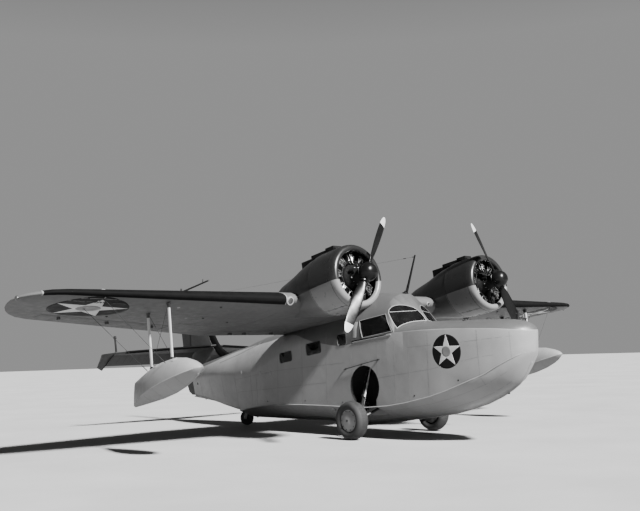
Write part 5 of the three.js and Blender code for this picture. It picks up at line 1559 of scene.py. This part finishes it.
def from_above(surface, x, y, side):
    """The skin met from above (1) or from below (-1)."""
    return surface.hit(A(x, y, 2600 if side > 0 else 1100), (0, 0, -side), 1.6)


def from_beside(surface, side, y, z, start, reach):
    return surface.hit(A(side * start, y, z), (-side, 0, 0), reach)


def make_fabric_ribs():
    """Rib tapes over the cloth-covered control surfaces and the flaps, with the edges of trim tabs."""
    for name, sign in SIDES:
        form = Form()
        for x in steps(260, 2480, 185):
            for side in (1, -1):
                line = kept(from_above(ELEVATOR, sign * x, y, side) for y in steps(7170, 7560, 40))
                rib(form, [s for s in line if s[1].z * side > 0.2], 0.022, 0.0018)
        rib(form, [from_above(ELEVATOR, sign * x, 7510, 1) for x in steps(420, 1350, 90)], 0.009, 0.0022)
        point = from_above(ELEVATOR, sign * 880, 7500, 1)[0]
        form.block(point + Vector((-0.004, -0.02, -0.002)), point + Vector((0.004, 0.02, 0.05)))
        form.piece(f"elevator_ribs_{name}", "tail", 40, f"elevator_{name}")
    form = Form()
    for z in steps(900, 3080, 180):
        for side in (1, -1):
            start = RUDDER_RIBS_FROM + HINGE_LEAN * (z - HINGE_FOOT_Z)
            line = [from_beside(RUDDER, side, y, z, 500, 0.6) for y in steps(start, 8060, 45)]
            rib(form, line, 0.022, 0.0018)
    for side in (1, -1):
        rib(form, [from_beside(RUDDER, side, lerp(7800, 7840, t), lerp(1500, 2300, t), 500, 0.6)
                   for t in steps(0, 1, 0.12)], 0.009, 0.0022)
    form.piece("rudder_ribs", "tail", 40, "rudder")
    for name, sign in SIDES:
        for word, surface, low, high, part in (("aileron", AILERON, 4030, 6600, 0.78),
                                               ("flap", FLAP, 940, 2540, 0.82)):
            form = Form()
            for x in steps(low, high, 230):
                for side in (1, -1):
                    line = [wing_hit(sign * x, s, side, surface) for s in steps(part, 0.985, 0.03)]
                    rib(form, line, 0.02, 0.0016)
            if surface is AILERON:
                rib(form, [wing_hit(sign * x, 0.93, 1, surface) for x in steps(4100, 5000, 90)], 0.009, 0.002)
            form.piece(f"{word}_ribs_{name}", "wing", 40, f"{word}_{name}")


def make_fin_trim():
    """Riveted ribs of the fin and tailplane, and the lamps low on the tail."""
    seams, lamps = forms(2)
    for side in (1, -1):
        for z in (2150, 2480, 2800, 3080):
            ends = table_at(FIN_NOSE, z)[0] + 240, FIN_RIBS_TO + HINGE_LEAN * (z - HINGE_FOOT_Z)
            line = [from_beside(FIN, side, y, z, 600, 0.7) for y in steps(*ends, 60)]
            rib(seams, line, 0.006, 0.0009, 0.06)
        for x in (500, 900, 1350, 1800, 2200):
            for k in (1, -1):
                start = TAIL_RIBS_FROM + TAIL_SLANT * x
                line = [from_above(TAIL, side * x, y, k) for y in steps(start, 7120, 60)]
                rib(seams, line, 0.006, 0.0009, 0.07)
        dome = [(0, 0.035), (0.01, 0.033), (0.018, 0.02), (0.02, 0.0)]
        lamps.boss(HULL.side(side, 7020, 1000), dome, 20, 0.003)
    seams.piece("tail_seams", "wing_seam", 50)
    lamps.piece("tail_lamps", "lens", 40)


# Small fittings under the wing and along the hull

# Control horns: the panel, the share of the chord and the distances out
HORNS = (("flap", FLAP, 0.855, (2188, 1817, 1100)), ("aileron", AILERON, 0.8, (4300, 5300, 6300)))


def make_horns(name, sign):
    for word, surface, s, places in HORNS:
        for x in places:
            point, normal = wing_hit(sign * x, s, -1, surface)
            form = Form()
            form.block(point + Vector((-0.006, -0.07, -0.045)), point + Vector((0.006, 0.06, 0.002)))
            form.turned(point + Vector((-0.012, -0.06, -0.03)), X, [(0, 0.012), (0.024, 0.012)], 12)
            form.piece(f"{word}_{name}_horn_{x}", "dark", 40, f"{word}_{name}")


def make_wing_fittings():
    """Drains and covers under the wing, the horns, the tips' lamps, and lifting eyes and fillers on top."""
    dark, light, lamps = forms(3)
    for name, sign in SIDES:
        for x, y in ((3923, 351), (3824, 1098), (5560, 1540), (3150, 1300)):
            dark.boss(WING.under(sign * x, y), [(0, 0.026), (0.004, 0.026), (0.02, 0.014), (0.022, 0.0)], 18)
        for x, y in ((4128, 1202), (6205, 957), (4700, 520)):
            light.boss(WING.under(sign * x, y), cap(0.03, 0.003, 0.005, 0.022), 20)
        make_horns(name, sign)
        tip = WING.hit(A(sign * 8200, 900, 2700), (-sign, 0, -0.02))[0]
        dome = [(0, 0.04), (0.02, 0.036), (0.034, 0.02), (0.038, 0.0)]
        lamps.boss((tip, Vector((sign, 0, 0))), dome, 20, 0.01)
        for y in (620, 1500):
            light.boss(WING.top(sign * 900, y), cap(0.03, 0.004, 0.006, 0.02), 20, 0.003)
        for x in (3600, 4900):
            light.boss(wing_hit(sign * x, 0.28, 1), cap(0.06, 0.003, 0.006, 0.05), 24)
    dark.piece("drain_spots", "dark", 40)
    light.piece("filler_caps", "light", 40)
    lamps.piece("wing_tip_lamps", "lens", 40)


# Places along the hull: tow eyes on the keel, drain plugs above the chines, and covers on the sides
KEEL_EYES = (6900, 6050, 4650, 1150, -2900)
DRAIN_PLUGS = (-2300, -1300, 700, 1900, 3300)
SIDE_COVERS = (3150, 3600, 4500)


def make_hull_fittings():
    """Tow eyes on the keel, drain plugs, covers, a bracket by each wheel well, and a dark strip down each
    side of the tail: painted shadow under the raised spine of its top.
    """
    dark, light = forms(2)
    for y in KEEL_EYES:
        keel = table_at(HULL_ROWS, y)[0]
        dark.block(A(-9, y - 26, keel - 20), A(9, y + 26, keel + 12))
        dark.turned(A(-14, y, keel - 14), X, [(0, 0.012), (0.028, 0.012)], 12)
    for name, sign in SIDES:
        corner, half = A(sign * 660, 1088, 530), Vector((0.02, 0.05, 0.035))
        light.block(corner - half, corner + half)
        for y in DRAIN_PLUGS:
            plug = HULL.side(sign, y, table_at(HULL_ROWS, y)[2] + 90)
            dark.boss(plug, [(0, 0.016), (0.004, 0.016), (0.007, 0.009)], 14)
        for y in SIDE_COVERS:
            light.boss(HULL.side(sign, y, 1280), cap(0.05, 0.003, 0.005, 0.042), 22)
        # Dark strip along each side of the tail's top: a painted shadow under its raised spine
        painted_shadow_line = [HULL.hit(A(sign * 700, lerp(3900, 5700, t), lerp(2315, 1870, t)), (-sign, 0, -1), 1.2)
                 for t in steps(0, 1, 1 / 30)]
        dark.strip(kept(painted_shadow_line), 0.012, 0.002)
    dark.piece("keel_eyes_plugs_and_shadow_lines", "dark", 40)
    light.piece("hull_covers", "light", 40)


WHEEL_MIDDLE_Z = 1640
# Places round a control wheel's rim, which is straight over its last three steps
RIM_TURNS = circle(28)[:-2]
DIAL = ((0, 0.036), (0.006, 0.036), (0.008, 0.031), (0.004, 0.029), (0.004, 0.0))


def make_cockpit():
    """Padded seats, two control wheels on their columns, and dials with their hands."""
    bright, dark, dials = forms(3)
    for name, sign in SIDES:
        x = sign * 210
        for word, low, high, edge, rounds in (("cushion", (-165, -672, 1334), (165, -276, 1392), 0.028, 4),
                                              ("back", (-160, -352, 1420), (160, -322, 1870), 0.014, 3)):
            pad = Form()
            pad.block(A(x + low[0], *low[1:]), A(x + high[0], *high[1:]))
            soften(pad.piece(f"seat_{word}_{name}", "leather", 30), edge, rounds)
        dark.tube([A(x, -700, 1010), A(x, -716, 1500), A(x, -700, 1585)], 0.018, 12)
        middle = A(x, -690, WHEEL_MIDDLE_Z)

        def on_wheel(radius, a):
            return middle + radius * Vector((math.sin(a), -0.2 * math.cos(a), math.cos(a)))
        dark.tube([on_wheel(0.135, a) for a in RIM_TURNS + RIM_TURNS[:1]], 0.012, 10)
        for a in (0.5, math.pi, -0.5):
            dark.tube([A(x, -694, WHEEL_MIDDLE_Z), on_wheel(0.13, a)], 0.007)
        for z in (2010, 1910):
            for dx in (-100, 0, 100):
                dials.turned(A(x + dx, -734, z), Y, DIAL, 20)
                bright.tube([A(x + dx, -729, z), A(x + dx + 16, -729, z + 14)], 0.0018, 6)
    dark.piece("control_columns", "panel", 40)
    dials.piece("dials", "black", 40)
    bright.piece("dial_hands", "bright", 40)


# Putting it together

skins()
for side_name, side_sign in SIDES:
    for make in (make_engine, make_baffle, make_cowl, make_propeller, make_float_struts, make_float_trim,
                 make_gear):
        make(side_name, side_sign)
for make in (make_boots, make_roundels, make_hull_seams, make_wing_seams, make_spray_rails,
             make_window_frames, make_screen_frames, make_sill_rails, make_deck_fittings,
             make_door_fittings, make_aerials, make_fabric_ribs, make_fin_trim, make_wing_fittings,
             make_hull_fittings, make_cockpit):
    make()


# Camera, light and floor

CAMERA_AT = Vector((-12.8644, -15.1767, 1.6328))
CAMERA_YAW, CAMERA_PITCH, CAMERA_ROLL = 0.7082, 0.113, -0.0296
FOCAL_PX, PHOTO_WIDTH, SENSOR_MM = 883.42, 640, 36
SUN_FROM = Vector((-0.12, -1.6, 1.35))
SUN_ENERGY, SUN_DEGREES = 27, 5


def make_camera():
    forward = Vector((math.sin(CAMERA_YAW) * math.cos(CAMERA_PITCH),
                      math.cos(CAMERA_YAW) * math.cos(CAMERA_PITCH), math.sin(CAMERA_PITCH)))
    level = Vector((math.cos(CAMERA_YAW), -math.sin(CAMERA_YAW), 0))
    up = level.cross(forward)
    right = level * math.cos(CAMERA_ROLL) + up * math.sin(CAMERA_ROLL)
    up = up * math.cos(CAMERA_ROLL) - level * math.sin(CAMERA_ROLL)
    data = bpy.data.cameras.new("camera")
    data.sensor_fit = "HORIZONTAL"
    data.sensor_width = SENSOR_MM
    data.lens = FOCAL_PX / PHOTO_WIDTH * SENSOR_MM
    data.clip_end = 500
    camera = bpy.data.objects.new("camera", data)
    bpy.context.scene.collection.objects.link(camera)
    turn = Matrix((right, up, -forward)).transposed().to_4x4()
    camera.matrix_world = Matrix.Translation(CAMERA_AT) @ turn
    bpy.context.scene.camera = camera


def make_floor():
    bpy.ops.mesh.primitive_plane_add(size=400, location=(0, 0, -0.004))
    floor = bpy.context.object
    floor.name = "floor"
    n = Nodes("floor_concrete")
    stains = n.spread(n.noise(0.35, 5, 0.6), 0.35, 0.7)
    paint = n.done({"Base Color": n.mix(stains, grey(0.23), grey(0.195)), "Roughness": 0.85})
    floor.data.materials.append(paint)


def make_light():
    """A sun, and a world that is even round the horizon and falls off overhead."""
    data = bpy.data.lights.new("key", "SUN")
    data.energy = SUN_ENERGY
    data.angle = math.radians(SUN_DEGREES)
    sun = bpy.data.objects.new("key", data)
    bpy.context.scene.collection.objects.link(sun)
    sun.rotation_euler = SUN_FROM.to_track_quat("Z", "Y").to_euler()
    world = bpy.data.worlds.new("studio")
    world.use_nodes = True
    tree = world.node_tree
    place = tree.nodes.new("ShaderNodeTexCoord")
    axes = tree.nodes.new("ShaderNodeSeparateXYZ")
    fade = tree.nodes.new("ShaderNodeMapRange")
    for key, value in (("From Min", 0.34), ("From Max", 0.6), ("To Min", 0.3), ("To Max", 0.05)):
        fade.inputs[key].default_value = value
    tree.links.new(place.outputs["Generated"], axes.inputs[0])
    tree.links.new(axes.outputs["Z"], fade.inputs["Value"])
    tree.links.new(fade.outputs[0], tree.nodes["Background"].inputs["Color"])
    bpy.context.scene.world = world


make_camera()
make_floor()
make_light()
